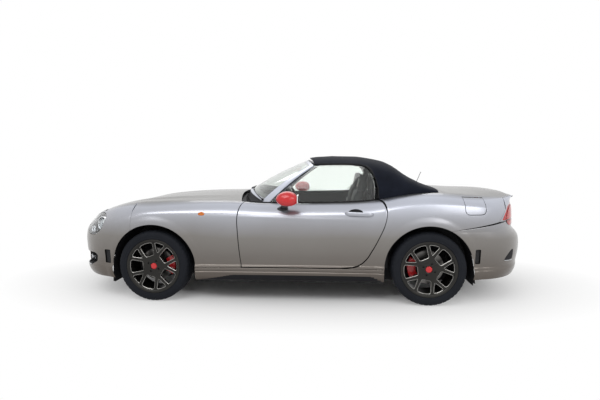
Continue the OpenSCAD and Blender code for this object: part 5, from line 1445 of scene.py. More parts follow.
def roofX(a):
    n = len(roofXs) - 1
    i = min(n - 1, int(a*n + 0.00001))
    return lerp(roofXs[i], roofXs[i + 1], a*n - i)

def roofAt(s, a):
    r, x = 1 - abs(s), roofX(a)
    z0, z1 = roofLow(x), roofTop(x)
    t0 = clamp01((roofLine(x) - z0)/(z1 - z0))
    q = lerp(math.asin(t0**(roofP/2)), math.pi/2, r)
    h, w = z0 + (z1 - z0)*math.sin(q)**(2/roofP), max(0, math.cos(q))**(2/roofP)
    y = roofSide(x)*w
    lean = (roofFront[0] - roofFront[1])*(1 - (y/600)**2)*a**6
    return (x + max(0, lean), -y if s < 0 else y,
        h - (z1 - roofTop(min(roofFront[0], x + max(0, lean))))*(1 - abs(s)))

rearGlass = (1, 4, 0.34)
def clothPress(points):
    # cloth drops between the bows, and draws small folds at the rear corner
    x, y, z = points[..., 0], points[..., 1], points[..., 2]
    bows = [-190] + list(roofLook["bows"]) + [-960]
    sag = np.zeros(x.shape)
    for a, b in zip(bows[:-1], bows[1:]):
        inside = (x < a) & (x > b)
        sag = np.where(inside, np.sin(np.pi*np.clip((a - x)/(a - b), 0, 1))*roofLook["sag"], sag)
    top = np.clip((z - 1120)/70, 0, 1)
    folds = 1.1*np.sin(x*0.045 + z*0.03)*np.exp(-((x + 860)/130)**2)*np.clip((np.abs(y) - 480)/90, 0, 1)
    folds += 0.8*np.sin(z*0.09 + x*0.02)*np.exp(-((x + 1060)/110)**2)*np.clip((np.abs(y) - 380)/120, 0, 1)
    return -sag*top + folds

nRoof = len(roofXs) - 1
roofRows = []
for i in range(nRoof):
    roofRows += [lerp(i, i + 1, k/6)/nRoof for k in range(6)]
roofRows.append(1.0)
paneS = rearGlass[2]
roofCols = sorted({round(v, 5) for v in steps(-1, -paneS, 36) + steps(-paneS, paneS, 30) + steps(paneS, 1,
    36)})
clothPoints = grid(roofAt, roofCols, roofRows)
clothNormals = gridNormals(clothPoints, (-600, 0, 700))
clothOuter = clothPoints + clothNormals*clothPress(clothPoints)[..., None]
def seamLift():
    lift = np.zeros(clothOuter.shape[:2])
    for j, s in enumerate(roofCols):
        lift[:, j] += 0.9*math.exp(-((abs(s) - 0.62)/0.012)**2) + 0.8*math.exp(-((abs(s) - 0.985)/0.008)**2)
    for i, a in enumerate(roofRows):
        x = roofX(a)
        lift[i, :] += 0.7*math.exp(-((x + 812)/7)**2) + 0.6*math.exp(-((a - 0.985)/0.006)**2)
    return lift

clothOuter = clothOuter + clothNormals*(seamLift() - 1.0)[..., None]
a0, a1 = rearGlass[0]/nRoof, rearGlass[1]/nRoof
def windowHole(i, j):
    u = (roofCols[j] + roofCols[j + 1])/2/paneS
    v = ((roofRows[i] + roofRows[i + 1])/2 - (a0 + a1)/2)/((a1 - a0)/2)
    return abs(u)**7 + abs(v)**7 < 0.96

softTop = slab("softTop", clothOuter, clothOuter - clothNormals*3.2, [roofCloth, liningCloth], 1,
    hole=windowHole, angle=60)
onBody(softTop, "root", "soft_top")
print("cloth area", sum(p.area for p in softTop.data.polygons)/2)
liningPoints = clothOuter - clothNormals*9.5
lining = slab("roofLining", liningPoints, liningPoints - clothNormals*1.5, [liningCloth], 0,
    hole=windowHole, angle=60)
onBody(lining, "root")
bows = []
for x in roofLook["bows"]:
    a = next(k/400 for k in range(401) if roofX(k/400) >= x)
    bows.append(pipe("roofBow", [tuple(Vector(roofAt(s, a)) - Vector((0, 12*s, 19))) for s in steps(-0.93,
        0.93, 50)], 7, blackSteel, 10))
for sign in (1, -1):
    railPoints = [(roofX(k), sign*(roofAt(1, k)[1] - 9), roofLine(roofX(k)) - 3) for k in steps(0.45, 0.99,
        60)]
    bows.append(pipe("roofRail", railPoints, 7.5, sealRubber, 10, flat=1.3))
roofBows = joined("roofBows", bows)
onBody(roofBows, "root")

rearPane = grid(roofAt, steps(0.001 - paneS, paneS - 0.001, 40), steps(a0 + 0.0008, a1 - 0.0008, 30))
rearPane[..., 2] -= 3
rearWindow = slab("rearWindow", rearPane, rearPane - np.array([0, 0, 5.0]), [clearGlass])
onBody(rearWindow, "root", "rear_window")

# antenna
antennaLook = dict(x=-1290, row=1.75, back=56, up=132)
foot = Vector(sidePoint(antennaLook["x"], 300, antennaLook["row"]))
foot.y *= -1
footRing = ringOf("antennaFoot", foot + Vector((0, 0, 4)), (0, 0, 1), [(0.01, 20), (6, 20), (8, 17),
    (12, 6), (15, 0), (0.01, 0)], [blackPlastic], segments=40)
mastPoints = [tuple(foot + Vector((-antennaLook["back"]*t, 0, 20 + antennaLook["up"]*t))) for t in steps(0,
    1, 40)]
mast = pipe("antennaMast", mastPoints, [2.6 + 0.5*(i % 2) for i in range(41)], blackPlastic, 12)
antenna = joined("antenna", [footRing, mast])
onBody(antenna, "root", "antenna")
print("glass, roof and antenna made")

# wheels
wheelLook = dict(pairs=5, frontTurn=179, rearTurn=174, boltCircle=50, faceAt=70, faceThick=10.6, edgeBar=2.1)
def beveled(obj, width, segments=2, angle=40):
    mod = obj.modifiers.new("edges", "BEVEL")
    mod.width, mod.segments, mod.limit_method, mod.angle_limit = width*mm, segments, "ANGLE", math.radians(35)
    return applied(obj, angle)

def polar(r, deg):
    return (r*cosd(deg), r*sind(deg))

bigHole = [(88, 0), (89, 10), (92, 16.5), (98, 21.5), (105, 23), (118, 21.8), (130, 20.8), (160, 18.9),
    (184, 17.7), (196, 16.6), (202, 14.5), (204, 11), (205, 0)]
forkHole = [(119, 0), (121, 1.8), (127, 3.6), (140, 6.3), (160, 9.1), (180, 11.2), (194, 12.2), (201, 11.4),
    (204, 9), (205, 0)]
def holeOutline(half, mid, less=0):
    pts = [polar(r, mid + a) for r, a in half] + [polar(r, mid - a) for r, a in half[-2:0:-1]]
    out = roundOutline(pts, 4)
    return grown(out, -less) if less else out

def dish(r):
    return 9*ease((r - 95)/115) + 4*ease((70 - r)/45)

def thinning(r):
    return lerp(1.25, 0.8, ease((r - 90)/110))

def faceTop(r):
    return wheelLook["faceAt"] + dish(r) + wheelLook["faceThick"]*thinning(r)

def wheelFace(name, turn):
    # flat plate with five forked spokes, cut from one outline, then dished
    curve = bpy.data.curves.new(name, "CURVE")
    curve.dimensions, curve.fill_mode = "2D", "BOTH"
    curve.extrude, curve.bevel_depth, curve.bevel_resolution = 0.0095, 0.003, 1
    outlines = [[polar(208, a) for a in steps(0, 357, 119)]]
    for k in range(wheelLook["pairs"]):
        outlines.append(holeOutline(forkHole, turn + 72*k))
        outlines.append(holeOutline(bigHole, turn + 36 + 72*k))
    outlines.append([polar(33, a) for a in steps(0, 354, 59)])
    for k in range(4):
        c = polar(wheelLook["boltCircle"], turn + 30 + 90*k)
        outlines.append([(c[0] + 10.5*math.cos(a), c[1] + 10.5*math.sin(a)) for a in circle(20)])
    for pts in outlines:
        spline = curve.splines.new("POLY")
        spline.points.add(len(pts) - 1)
        for p, q in zip(spline.points, pts):
            p.co = (q[0]*mm, q[1]*mm, 0, 1)
        spline.use_cyclic_u = True
    temp = linked(name, curve)
    mesh = evaluated(temp)
    bpy.data.objects.remove(temp)
    bpy.data.curves.remove(curve)
    bm = bmesh.new()
    bm.from_mesh(mesh)
    bmesh.ops.remove_doubles(bm, verts=bm.verts, dist=1e-6)
    for i in range(2):
        long = [e for e in bm.edges if e.calc_length() > 0.016]
        if long:
            bmesh.ops.subdivide_edges(bm, edges=long, cuts=1)
    bmesh.ops.triangulate(bm, faces=[f for f in bm.faces if len(f.verts) > 4])
    for v in bm.verts:
        r = math.hypot(v.co.x, v.co.y)/mm
        v.co.z = v.co.z*thinning(r) + dish(r)*mm
    bm.normal_update()
    for f in bm.faces:
        f.smooth = True
    bm.to_mesh(mesh)
    bm.free()
    mesh.materials.clear()
    mesh.materials.append(darkAlloy)
    mesh.transform(Matrix(((1, 0, 0, 0), (0, 0, 1, wheelLook["faceAt"]*mm), (0, 1, 0, 0), (0, 0, 0, 1))))
    mesh.flip_normals()
    obj = linked(name, mesh)
    soften(obj, 30)
    return obj

def hexHead(centre, r, depth):
    outline = [(centre[0] + r*cosd(60*k), centre[1] + r*sind(60*k)) for k in range(6)]
    return beveled(prism("bolt", outline, depth - 10, depth, material=blackSteel), 1.2)

def wheelParts(name, turn):
    # the turned and cut parts of one wheel about its own centre, outer side towards +y
    barrel = lathe("barrel", [(203, -98), (205, -101), (229, -101), (231, -99), (231, -96), (229, -94),
        (218, -92), (216, -88), (215, -60), (212, -20), (212, 40), (215, 80), (216, 92), (229, 94),
        (231, 96), (231, 99), (228.5, 101), (216, 100), (211, 97), (206, 92), (204, 80), (203, 40),
        (203, -20), (204, -80)], [darkAlloy, machined], 144)
    faceBit = wheelFace("face", turn)
    rims = []
    for k in range(wheelLook["pairs"]):
        for half, mid in ((forkHole, turn + 72*k), (bigHole, turn + 36 + 72*k)):
            around = holeOutline(half, mid, 1.2)
            points = [(p[0], faceTop(math.hypot(*p)), p[1]) for p in around[::2] + around[:1]]
            rims.append(pipe("spokeEdge", points, wheelLook["edgeBar"], machined, 5))
    hub = lathe("hub", [(0.01, 62), (58, 62), (62, 58), (64, 40), (70, 22), (74, 6), (76, -3.8),
        (66.3, -3.8), (66.3, 26), (30, 28), (28.2, 30), (28.2, 52), (0.01, 52)], [darkAlloy], 72)
    cap = lathe("cap", [(0.01, 86.5), (10, 86.3), (20, 85.3), (25, 83.6), (27, 80.5), (27, 76), (0.01, 76)],
        [redGloss], 56)
    capRing = lathe("capRing", [(27.2, 80), (27.6, 83.5), (29.5, 84.4), (31.6, 83), (32, 76), (27.2, 76)],
        [glossBlack], 56)
    bolts = [hexHead(polar(wheelLook["boltCircle"], turn + 30 + 90*k), 7.2, 77) for k in range(4)]
    disc = lathe("disc", [(67, -25.3), (139, -25.3), (139.8, -24.6), (139.8, -18.6), (136, -18),
        (110, -17.8), (110, -11.2), (136, -11), (139.8, -10.4), (139.8, -4.4), (139, -3.7), (67, -3.7)],
        [brakeDisc], 120)
    vanes = []
    for a in range(0, 360, 10):
        p, q, w = polar(112, a), polar(136, a), polar(1.2, a + 90)
        outline = [(c[0] + s*w[0], c[1] + s*w[1]) for c, s in ((p, 1), (q, 1), (q, -1), (p, -1))]
        vanes.append(prism("vane", outline, -18.5, -10.5, material=brakeDisc))
    x, z = polar(196, turn + 36)
    valve = pipe("valve", [(x*k, y, z*k) for k, y in ((1, 84), (0.97, 92), (0.955, 98))], [4, 3.4, 3],
        sealRubber, 12)
    return joined(name, [barrel, faceBit, hub, cap, capRing, disc, valve] + bolts + vanes + rims)

treadLook = dict(grooves=(-52, -19, 19, 52), width=8.5, depth=6.5, segments=240, lugStep=5, lugDepth=3.4)
def tyreProfile():
    outer = [(216.3, -91.7), (231.4, -93.8), (233, -97.4), (238, -100.6), (246, -102), (250, -101.2),
        (252, -102.2), (262, -102.4), (274, -101.6), (282, -99.5), (288, -97), (293, -93), (297, -88),
        (300.4, -82), (302.2, -76)]
    crown = []
    for c in treadLook["grooves"]:
        w = treadLook["width"]/2
        for y, d in ((c - w - 1, 0), (c - w + 0.6, treadLook["depth"]), (c + w - 0.6, treadLook["depth"]),
                (c + w + 1, 0)):
            top = car["tyreR"] - 0.3 - 1.4*(abs(y)/76)**3
            crown.append((top - d, y))
    back = [(p[0], -p[1]) for p in reversed(outer)]
    inside = [(216.3, 74), (245, 84), (270, 84), (288, 66), (288, -66), (270, -84), (245, -84), (216.3, -74)]
    return outer + crown + back + inside, len(outer), len(crown)

def tyreWobble(i, k):
    n1, n2 = len(tyreOuter), len(tyreOuter) + tyreCrown
    if n1 - 4 <= i < n1 or n2 <= i < n2 + 4:
        return -treadLook["lugDepth"] if k % treadLook["lugStep"] == 0 else 0
    if n1 <= i < n2 and (i - n1) % 4 in (0, 3):
        return -0.9 if k % treadLook["lugStep"] == 2 else 0
    return 0

profile, firstPart, tyreCrown = tyreProfile()
tyreOuter = profile[:firstPart]
frontWheel = wheelParts("frontLeftWheel", wheelLook["frontTurn"])
rearWheel = wheelParts("rearLeftWheel", wheelLook["rearTurn"])
tyre = lathe("frontLeftTyre", profile, [rubber], treadLook["segments"], wobble=tyreWobble, angle=28)
def placed(source, name, at, right=False):
    # copy of a wheel part moved to its axle, turned over for the right side
    mesh = source.data.copy()
    if right:
        mirror(mesh)
    mesh.transform(Matrix.Translation(Vector(at)*mm))
    return linked(name, mesh)

for end, x, track, wheel in (("front", frontAxle, car["frontTrack"]/2, frontWheel), ("rear", rearAxle,
        car["rearTrack"]/2, rearWheel)):
    for side, right in (("left", False), ("right", True)):
        body, at = f"{end}_{side}_road_wheel", (x, -track if right else track, hubZ)
        onBody(placed(wheel, f"{end}{side.title()}Rim", at, right), body, f"{end}_{side}_wheel")
        onBody(placed(tyre, f"{end}{side.title()}Rubber", at, right), body, f"{end}_{side}_tyre")
for part in (frontWheel, rearWheel, tyre):
    bpy.data.objects.remove(part)
print("wheels and tyres made")

# brakes and uprights
caliperLook = dict(inner=96, outer=165, half=31, face=18, back=-51)
def sector(name, r0, r1, a0, a1, y0, y1, material, mid=0, width=4, n=12):
    outline = [polar(r1, mid + a) for a in steps(a0, a1, n)] + [polar(r0, mid + a) for a in steps(a1, a0, n)]
    return beveled(prism(name, outline, y0, y1, material=material), width, 3)

def caliper(name, mid):
    c = caliperLook
    parts = [sector(name, c["inner"], c["outer"], -c["half"], c["half"], 2.2, c["face"], caliperRed, mid),
        sector(name, c["inner"], c["outer"], -c["half"], c["half"], c["back"], -31.6, caliperRed, mid),
        sector(name, 147, c["outer"], -c["half"], -10, -34, 6, caliperRed, mid, 2.5), sector(name, 147,
        c["outer"], 10, c["half"], -34, 6, caliperRed, mid, 2.5), sector(name, 147, 153, -12, 12, -34, 6,
        caliperRed, mid, 1.5)]
    for a in (-17, 17):
        at = polar(128, mid + a)
        parts.append(ringOf(name, (at[0], c["face"] - 2, at[1]), (0, 1, 0), [(0.01, 2.4), (11, 2.2),
            (14.5, 0.4), (15, -3), (0.01, -3)], [caliperRed], segments=32))
        parts.append(ringOf(name, (at[0], c["back"] + 2, at[1]), (0, -1, 0), [(0.01, 8), (15, 7), (18, 2),
            (18, -3), (0.01, -3)], [caliperRed], segments=32))
    for a in (-26, 26):
        at = polar(156, mid + a)
        parts.append(ringOf(name, (at[0], c["face"] - 2, at[1]), (0, 1, 0), [(0.01, 5), (3.5, 5),
            (4.5, 3.6), (4.5, -3), (0.01, -3)], [blackSteel], segments=6))
    pads = [sector(name, 100, 138, -24, 24, -1.4, 1.8, blackSteel, mid, 0.8), sector(name, 100, 138, -24,
        24, -31.2, -27.8, blackSteel, mid, 0.8)]
    return parts + pads

def upright(name):
    parts = [lathe(name, [(0.01, -72), (26, -72), (28, -70), (28, 36), (26, 38.4), (0.01, 38.4)],
        [castMetal], 48)]
    plate = prism(name, [(-24, -124), (24, -124), (34, -40), (38, 0), (30, 50), (20, 124), (-20, 124),
        (-30, 50), (-38, 0), (-34, -40)], -60, -42, material=castMetal)
    parts.append(beveled(plate, 4, 3))
    for z in (-113, 113):
        parts.append(ringOf(name, (0, -57.5, z), (0, 0, 1), [(8.2, -12), (15, -12), (17, -10), (17, 10),
            (15, 12), (8.2, 12)], [castMetal], segments=40))
    parts.append(pipe(name, [(0, -62, -40), (50, -74, -40), (100, -78, -40), (108, -78, -40)],
        [15, 12, 10, 9], castMetal, 14))
    parts.append(pipe(name, [(108, -78, -40), (108, -118, -40)], 7.5, blackSteel, 14))
    return parts

def atWheel(name, x, track, parts):
    move = Matrix.Translation(Vector((x, track/2, hubZ))*mm)
    piece = joined(name, [turned(o, move) for o in parts])
    soften(piece, 40)
    return piece

frontKnuckle = atWheel("frontLeftUpright", frontAxle, car["frontTrack"], upright("upright"))
frontCaliper = atWheel("frontLeftCaliper", frontAxle, car["frontTrack"], caliper("caliper", 180))
rearCaliper = atWheel("rearLeftCaliper", rearAxle, car["rearTrack"], caliper("caliper", 0))
bothSides(frontKnuckle, "frontRightUpright", "front_left_hub", "front_right_hub", ["front_left_knuckle"],
    ["front_right_knuckle"])
bothSides(frontCaliper, "frontRightCaliper", "front_left_hub", "front_right_hub", ["front_left_knuckle"],
    ["front_right_knuckle"])
shared(rearCaliper, "rearRightCaliper", "rear_calipers")
print("brakes and uprights made")

# wheel arch liners
linerLook = dict(front=(-24, 186), rear=(-4, 202), frontInner=470, rearInner=596, outer=806, radius=363)
def liner(name, cx, span, inner):
    radius = linerLook["radius"]
    def shellAt(a, r):
        k, deg = radius - 3*math.sin(math.pi*r), lerp(*span, a)
        return (cx + k*cosd(min(180, max(0, deg))), lerp(inner, linerLook["outer"], r), hubZ + k*sind(deg))
    shell = panel(name, shellAt, steps(0, 1, 72), steps(0, 1, 8), [blackPlastic], thick=3, centre=(cx, 600,
        hubZ))
    # painted shade: a black plate across the inboard side of the arch, standing for the shade deep in the
    # wheel well
    shadePlate = []
    for k in (1.0, 0.85, 0.6, 0.3, 0.02):
        shadePlate.append([(cx + radius*k*cosd(a), inner - 14, max(150, hubZ + radius*k*sind(a)))
            for a in steps(-30, 210, 60)])
    back = sweep(name + "Wall", shadePlate, [blackPlastic], closedEnds=False)
    return joined(name, [shell, back])

frontLiner = liner("frontLeftLiner", frontAxle, linerLook["front"], linerLook["frontInner"])
def mudFlap(name, x, lean, top, foot, out):
    points = grid(lambda a, r: (x + lean*r, lerp(560, out, a), lerp(top, foot, r) - 6*math.sin(math.pi*a)),
        steps(0, 1, 12), steps(0, 1, 12))
    return slab(name, points, points + np.array([5.0, 0, 0]), [sealRubber])

frontLiner = joined("frontLeftLiner", [frontLiner, mudFlap("linerFlap", 1541, 9, 385, 163, 822)])
soften(frontLiner, 40)
bothSides(frontLiner, "frontRightLiner")
rearLiner = joined("rearLeftLiner", [liner("rearLeftLiner", rearAxle, linerLook["rear"],
    linerLook["rearInner"]), mudFlap("rearFlap", -1488, -16, 330, 182, 800)])
soften(rearLiner, 40)
bothSides(rearLiner, "rearRightLiner")

# side markers
markerLook = dict(at=(758, 757), size=(27, 15))
(mx, mz), (mw, mh) = markerLook["at"], markerLook["size"]
outline = [(mx + mw*math.cos(a)*(1 - 0.18*math.sin(a)), mz + mh*math.sin(a)) for a in circle(40)]
marker = lens("leftSideMarker", wingTree, outline, amberLens, 3, 8, 2.6)
markerRim = lens("leftMarkerRim", wingTree, grown(outline, 2.2), lampGlass, 2, 8, 1.2)
bothSides(joined("leftMarker", [marker, markerRim]), "rightMarker")

# seats
seatLook = dict(y=375, width=460, bolster=46, channels=7, backChannels=9, fill=0.8, cushion=(410, 88),
    back=(600, 96), head=(150, 74))
def pad(name, origin, alongAxis, upAxis, half, length, thick, shape, stripes, taper=None):
    # crowned pad: across is y, along and up lie in the side plane
    o, along, up = Vector(origin), Vector(alongAxis).normalized(), Vector(upAxis).normalized()
    us = [math.sin(math.pi/2*v) for v in steps(-1, 1, 34)]
    vs = [math.sin(math.pi/2*v) for v in steps(-1, 1, 42)]
    top, low = [], []
    for v in vs:
        a, b = [], []
        for u in us:
            fall = max(0, 1 - abs(u)**7)**(1/3)*max(0, 1 - abs(v)**8)**(1/3)
            w = half*(taper(v) if taper else 1)*(1 - 0.02*(1 - v*v))
            h = (thick*0.5 + shape(u, v))*fall
            base = o + along*(length/2*v*(1 - 0.015*(1 - u*u))) + Vector((0, u*w, 0))
            a.append(tuple(base + up*h))
            b.append(tuple(base - up*(thick*0.5*fall)))
        top.append(a)
        low.append(b)
    piece = slab(name, np.array(top), np.array(low), [leather, paleLeather], 0, angle=70)
    for f in piece.data.polygons:
        c = f.center/mm - o
        u, v = c.y/half, c.dot(along)/(length/2)
        if f.normal.dot(up) > 0.35 and stripes(u, v):
            f.material_index = 1
    return piece

def cushionShape(u, v):
    bolster = seatLook["bolster"]*0.62*ease((abs(u) - 0.5)/0.2)*(1 - 0.35*max(0, v))
    channel = -5*max(0, math.cos(math.pi*seatLook["channels"]*(v + 1)/2))**14*(abs(u) < 0.54)
    seam = -6*math.exp(-((abs(u) - 0.53)/0.018)**2) - 4*math.exp(-((v - 0.72)/0.02)**2)*(abs(u) < 0.53)
    return bolster + channel + seam + 8*(1 - u*u)*(1 - v*v)

def backShape(u, v):
    bolster = seatLook["bolster"]*0.7*ease((abs(u) - 0.5)/0.18)*ease((0.55 - v)/0.3)
    channel = -5*max(0, math.cos(math.pi*seatLook["backChannels"]*(v + 1)/2))**14*(abs(u) < 0.5)*(v < 0.5)
    seam = -6*math.exp(-((abs(u) - 0.52)/0.018)**2)*(v < 0.6) - 5*math.exp(-((v - 0.56)/0.018)**2)
    return bolster + channel + seam + 9*(1 - u*u)*(1 - abs(v))

def seatParts(name):
    y, w = seatLook["y"], seatLook["width"]/2
    def headShape(u, v):
        return 5*(1 - u*u) - 4*math.exp(-((abs(u) - 0.7)/0.03)**2)
    cushion = pad(name + "Cushion", (-92, y, 292), (1, 0, 0.06), (-0.06, 0, 1), w, *seatLook["cushion"],
        cushionShape, lambda u, v: abs(u) < 0.5 and v < 0.7)
    back = pad(name + "Back", (-512, y, 640), (-0.235, 0, 0.97), (0.97, 0, 0.235), w, *seatLook["back"],
        backShape, lambda u, v: abs(u) < 0.49 and -0.9 < v < 0.52, lambda v: 1 - 0.16*ease((v - 0.3)/0.7))
    head = pad(name + "Head", (-608, y, 985), (-0.2, 0, 0.98), (0.98, 0, 0.2), w*0.56, *seatLook["head"],
        headShape, lambda u, v: abs(u) < 0.6 and abs(v) < 0.5)
    return cushion, back, head

for piece in seatParts("leftSeat"):
    other = mirroredCopy(piece, piece.name.replace("left", "right"))
    for obj in (piece, other):
        onBody(obj, "root", "seats")

def seatBase(name):
    y = seatLook["y"]
    shell = prism(name, [(100, 238), (112, 262), (-300, 272), (-420, 300), (-500, 330), (-560, 560),
        (-640, 905), (-668, 900), (-600, 560), (-545, 300), (-460, 240)], y - 205, y + 205,
        material=blackPlastic)
    shell = beveled(shell, 9, 3)
    rails = []
    for s in (-1, 1):
        mid = y + s*160
        rail = prism(name, [(85, 178), (85, 196), (-420, 196), (-420, 178)], mid - 16, mid + 16,
            material=blackSteel)
        leg = prism(name, [(60, 194), (30, 246), (-300, 246), (-360, 194)], mid - 5, mid + 5,
            material=blackSteel)
        rails += [beveled(rail, 3), beveled(leg, 2)]
    lever = pipe(name, [(104, y - 120, 226), (128, y - 110, 220), (128, y + 110, 220), (104, y + 120, 226)],
        6, blackSteel, 10)
    return joined(name, [shell, lever] + rails)

shared(seatBase("leftSeatBase"), "rightSeatBase", "seats")
print("seats made")

# dashboard, console and steering wheel
dashLook = dict(half=600, hood=(-375, 150, 24), vents=(-540, -150, 150, 540))
dashOutline = roundOutline([(606, 562), (612, 680), (604, 768), (520, 782), (430, 782), (300, 806),
    (248, 800), (234, 782), (238, 740), (250, 700), (330, 620), (480, 562)], 5, 0.4)
dashSections = []
for y in steps(-dashLook["half"], dashLook["half"], 56):
    hy, hw, hh = dashLook["hood"]
    lift = hh*math.exp(-((y - hy)/hw)**6)
    endRound = 1 - 0.05*max(0, (abs(y) - 560)/40)**2
    dashSections.append([(lerp(420, x, endRound) - (10*math.exp(-((y - hy)/hw)**6) if z > 770 and x < 320
        else 0), y, z + (lift*ease((x - 225)/60)*ease((470 - x)/150) if z > 765 else 0)) for x,
        z in dashOutline])
dash = sweep("dashTop", dashSections, [blackPlastic], angle=50)
dashBits = [dash]
for y in dashLook["vents"]:
    x = 243
    dashBits.append(ringOf("vent", (x - 3, y, 742), (-1, 0, 0.08), [(34, -14), (40, -6), (41, 0), (38, 3),
        (34, 1), (32, -12)], [satinSilver], segments=48))
    for k in (-2, -1, 0, 1, 2):
        w = math.sqrt(32*32 - (k*12)**2)
        dashBits.append(pipe("vane", [(x + 3, y - w, 742 + 12*k), (x + 3, y + w, 742 + 12*k)], 2.2,
            blackPlastic, 8))
for y, r in ((-375, 58), (-480, 40), (-270, 40)):
    dashBits.append(ringOf("dial", (250, y, 762), (-1, 0, 0.2), [(r - 3, -8), (r, -2), (r - 1, 3),
        (r - 4, 2), (r - 6, -8)], [satinSilver], segments=48))
    dashBits.append(ringOf("dialFace", (250, y, 762), (-1, 0, 0.2), [(0.01, -2), (r - 8, -2), (r - 5, -4),
        (r - 5, -8), (0.01, -8)], [glossBlack], segments=48))
    dashBits.append(pipe("needle", [(246, y, 762), (245, y + r*0.5, 762 + r*0.45)], [1.6, 0.8], caliperRed,
        8))
screen = prism("screen", roundBox(-66, 66, 0, 84, 8), 0, 12, material=glossBlack)
# stood up across the car, leaning back
standing = Matrix(((0, 1, 0.08, 0), (1, 0, 0, 0), (0, 0, 1, 0), (0, 0, 0, 1)))
screen.data.transform(Matrix.Translation(Vector((222, 0, 700))*mm) @ standing)
dashBits.append(beveled(screen, 2))
stack = prism("stack", [(236, 470), (240, 690), (256, 706), (500, 700), (500, 460), (250, 456)], -96, 96,
    material=blackPlastic)
dashBits.append(beveled(stack, 10, 3))
for k in (-1, 0, 1):
    dashBits.append(ringOf("knob", (238, 46*k, 600), (-1, 0, 0), [(0.01, 18), (14, 18), (17, 14), (18, 2),
        (21, 0), (21, -4), (0.01, -4)], [blackPlastic], segments=40))
console = prism("console", [(-296, 421), (-298, 455), (-280, 470), (60, 470), (200, 468), (250, 474),
    (510, 474), (518, 421)], -98, 98, material=blackPlastic)
dashBits.append(beveled(console, 12, 4))
boot = []
for i, t in enumerate((0, 0.08, 0.2, 0.3, 0.42, 0.52, 0.66, 0.78, 0.9, 1.0)):
    k = 1.09 if i % 2 else 0.96
    boot.append([(150 + k*(46 - 30*t)*math.cos(a), k*(38 - 25*t)*math.sin(a), 470 + 62*t)
        for a in circle(24)])
dashBits.append(sweep("gaiter", boot, [leather], angle=70))
dashBits.append(pipe("lever", [(150, 0, 520), (140, 0, 560)], 7, satinSilver, 12))
dashBits.append(ringOf("leverKnob", (128, 0, 566), (-0.25, 0, 1), [(0.01, 32), (12, 30), (20, 22), (23, 10),
    (20, -4), (12, -14), (8, -18), (0.01, -18)], [leather], segments=40))
dashBits.append(pipe("handbrake", [(-60, 60, 478), (-20, 60, 492), (70, 60, 506), (110, 60, 508)],
    [10, 10, 13, 12], leather, 14))
columnDir = Vector((-cosd(24), 0, sind(24)))
wheelHub = Vector((120, -375, 790))
dashBits.append(ringOf("column", wheelHub, columnDir, [(0.01, -7), (20, -7), (26, -12), (34, -60),
    (38, -120), (26, -225), (0.01, -230)], [blackPlastic], segments=40))
for sign in (-1, 1):
    a = wheelHub - columnDir*60 + Vector((0, sign*30, 0))
    dashBits.append(pipe("stalk", [tuple(a), tuple(a + Vector((0, sign*70, 12))),
        tuple(a + Vector((-4, sign*128, 26)))], [6, 5.5, 7], blackPlastic, 12))
dashboard = joined("dashboard", dashBits)
soften(dashboard, 45)
onBody(dashboard, "root", "dashboard")

rimProfile = [(164 + 13.5*math.cos(a), 40 + 14*math.sin(a)) for a in circle(20)]
wheelBits = [ringOf("wheelRim", wheelHub, columnDir, rimProfile, [leather], segments=120)]
wheelBits.append(ringOf("wheelBoss", wheelHub, columnDir, [(0.01, 47), (30, 46), (44, 42), (50, 34),
    (48, 24), (38, 8), (36, -5), (0.01, -5)], [leather], segments=64))
sideAxis, upWheel = Vector((0, 1, 0)), Vector((sind(24), 0, cosd(24)))
for d in (sideAxis, -sideAxis, -upWheel):
    sideways = d.cross(columnDir)
    pts = [wheelHub + columnDir*(34 - 2*math.sin(math.pi*t)) + d*lerp(42, 158, t) for t in steps(0, 1, 10)]
    def barRing(p, w, h, n):
        return [tuple(p + sideways*w*math.cos(a) + columnDir*h*math.sin(a)) for a in circle(n)]
    sections = [barRing(p, lerp(22, 11, ease(i/10)), 6, 16) for i, p in enumerate(pts)]
    wheelBits.append(sweep("spoke", sections, [satinSilver], angle=50))
    wheelBits.append(sweep("spokeInsert", [barRing(p + columnDir*3.2, 6, 4.6, 12) for p in pts[2:9]],
        [blackPlastic], angle=50))
steeringWheel = joined("steeringWheel", wheelBits)
soften(steeringWheel, 50)
onBody(steeringWheel, "steering_wheel", "steering_wheel")

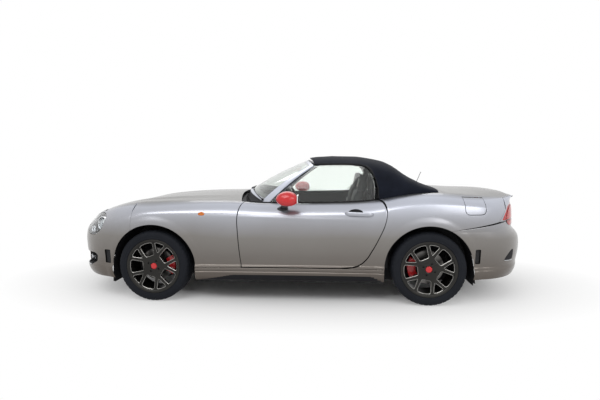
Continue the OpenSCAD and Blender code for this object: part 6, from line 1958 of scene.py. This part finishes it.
# hoops, floor lining, and the CAD parts that stay
hoopLook = dict(x=-682.5, r=17, half=110, top=960)
def hoop(name, y):
    h = hoopLook
    path = [(h["x"], y - h["half"], z) for z in steps(482, h["top"], 12)]
    path += [(h["x"], y - h["half"]*cosd(a), h["top"] + h["half"]*sind(a)) for a in steps(12, 168, 13)]
    path += [(h["x"], y + h["half"], z) for z in steps(h["top"], 482, 12)]
    bar = pipe(name, path, h["r"], glossBlack, 20)
    feet = []
    for s in (-1, 1):
        foot = lathe(name, [(0.01, -3), (26, -3), (30, 0), (30, 8), (18, 12), (0.01, 12)], [blackPlastic], 32)
        stood = Matrix.Translation(Vector((h["x"], y + s*h["half"], 484))*mm) @ Matrix.Rotation(math.pi/2,
            4, "X")
        feet.append(turned(foot, stood))
    mesh = [pipe(name, [(h["x"], y + dy, 600 + 6*abs(dy)/100), (h["x"], y + dy, 1000)], 1.6, blackPlastic,
        6) for dy in steps(-88, 88, 11)]
    return joined(name, [bar] + feet + mesh)

hoops = hoop("leftHoop", 375)
soften(hoops, 45)
shared(hoops, "rightHoop", "roll_hoops")

def floorLine(s):
    # across the cabin: sill, floor, tunnel
    ys = [-639, -636, -634, -600, -170, -150, -144, -120, 0, 120, 144, 150, 170, 600, 634, 636, 639]
    zs = [298, 290, 186, 180, 180, 190, 400, 424, 425, 424, 400, 190, 180, 180, 186, 290, 298]
    t = (s + 1)/2*(len(ys) - 1)
    return float(np.interp(t, range(len(ys)), ys)), float(np.interp(t, range(len(zs)), zs))

lineX = steps(-694, 622, 40)
liningGrid = np.array([[(x, *floorLine(s)) for s in steps(-1, 1, 64)] for x in lineX], dtype=float)
cabinFloor = slab("cabinFloor", liningGrid, liningGrid - np.array([0, 0, 3.0]), [carpet], angle=60)
onBody(cabinFloor, "root")
def bulkheadAt(a, r):
    return (-694 + 5*math.sin(math.pi*a)*math.sin(math.pi*r), lerp(-636, 636, a), lerp(182, 795, r))

bulkhead = panel("bulkheadTrim", bulkheadAt, steps(0, 1, 40), steps(0, 1, 20), [carpet], thick=3,
    centre=(-1200, 0, 500))
onBody(bulkhead, "root")
for name, material in (("floor_pan", underCoat), ("engine", castMetal), ("exhaust", exhaustSteel),
        ("front_suspension", blackSteel), ("rear_suspension", blackSteel)):
    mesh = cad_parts[name].data
    mesh.materials.clear()
    mesh.materials.append(material)
print("cabin and frame parts finished")
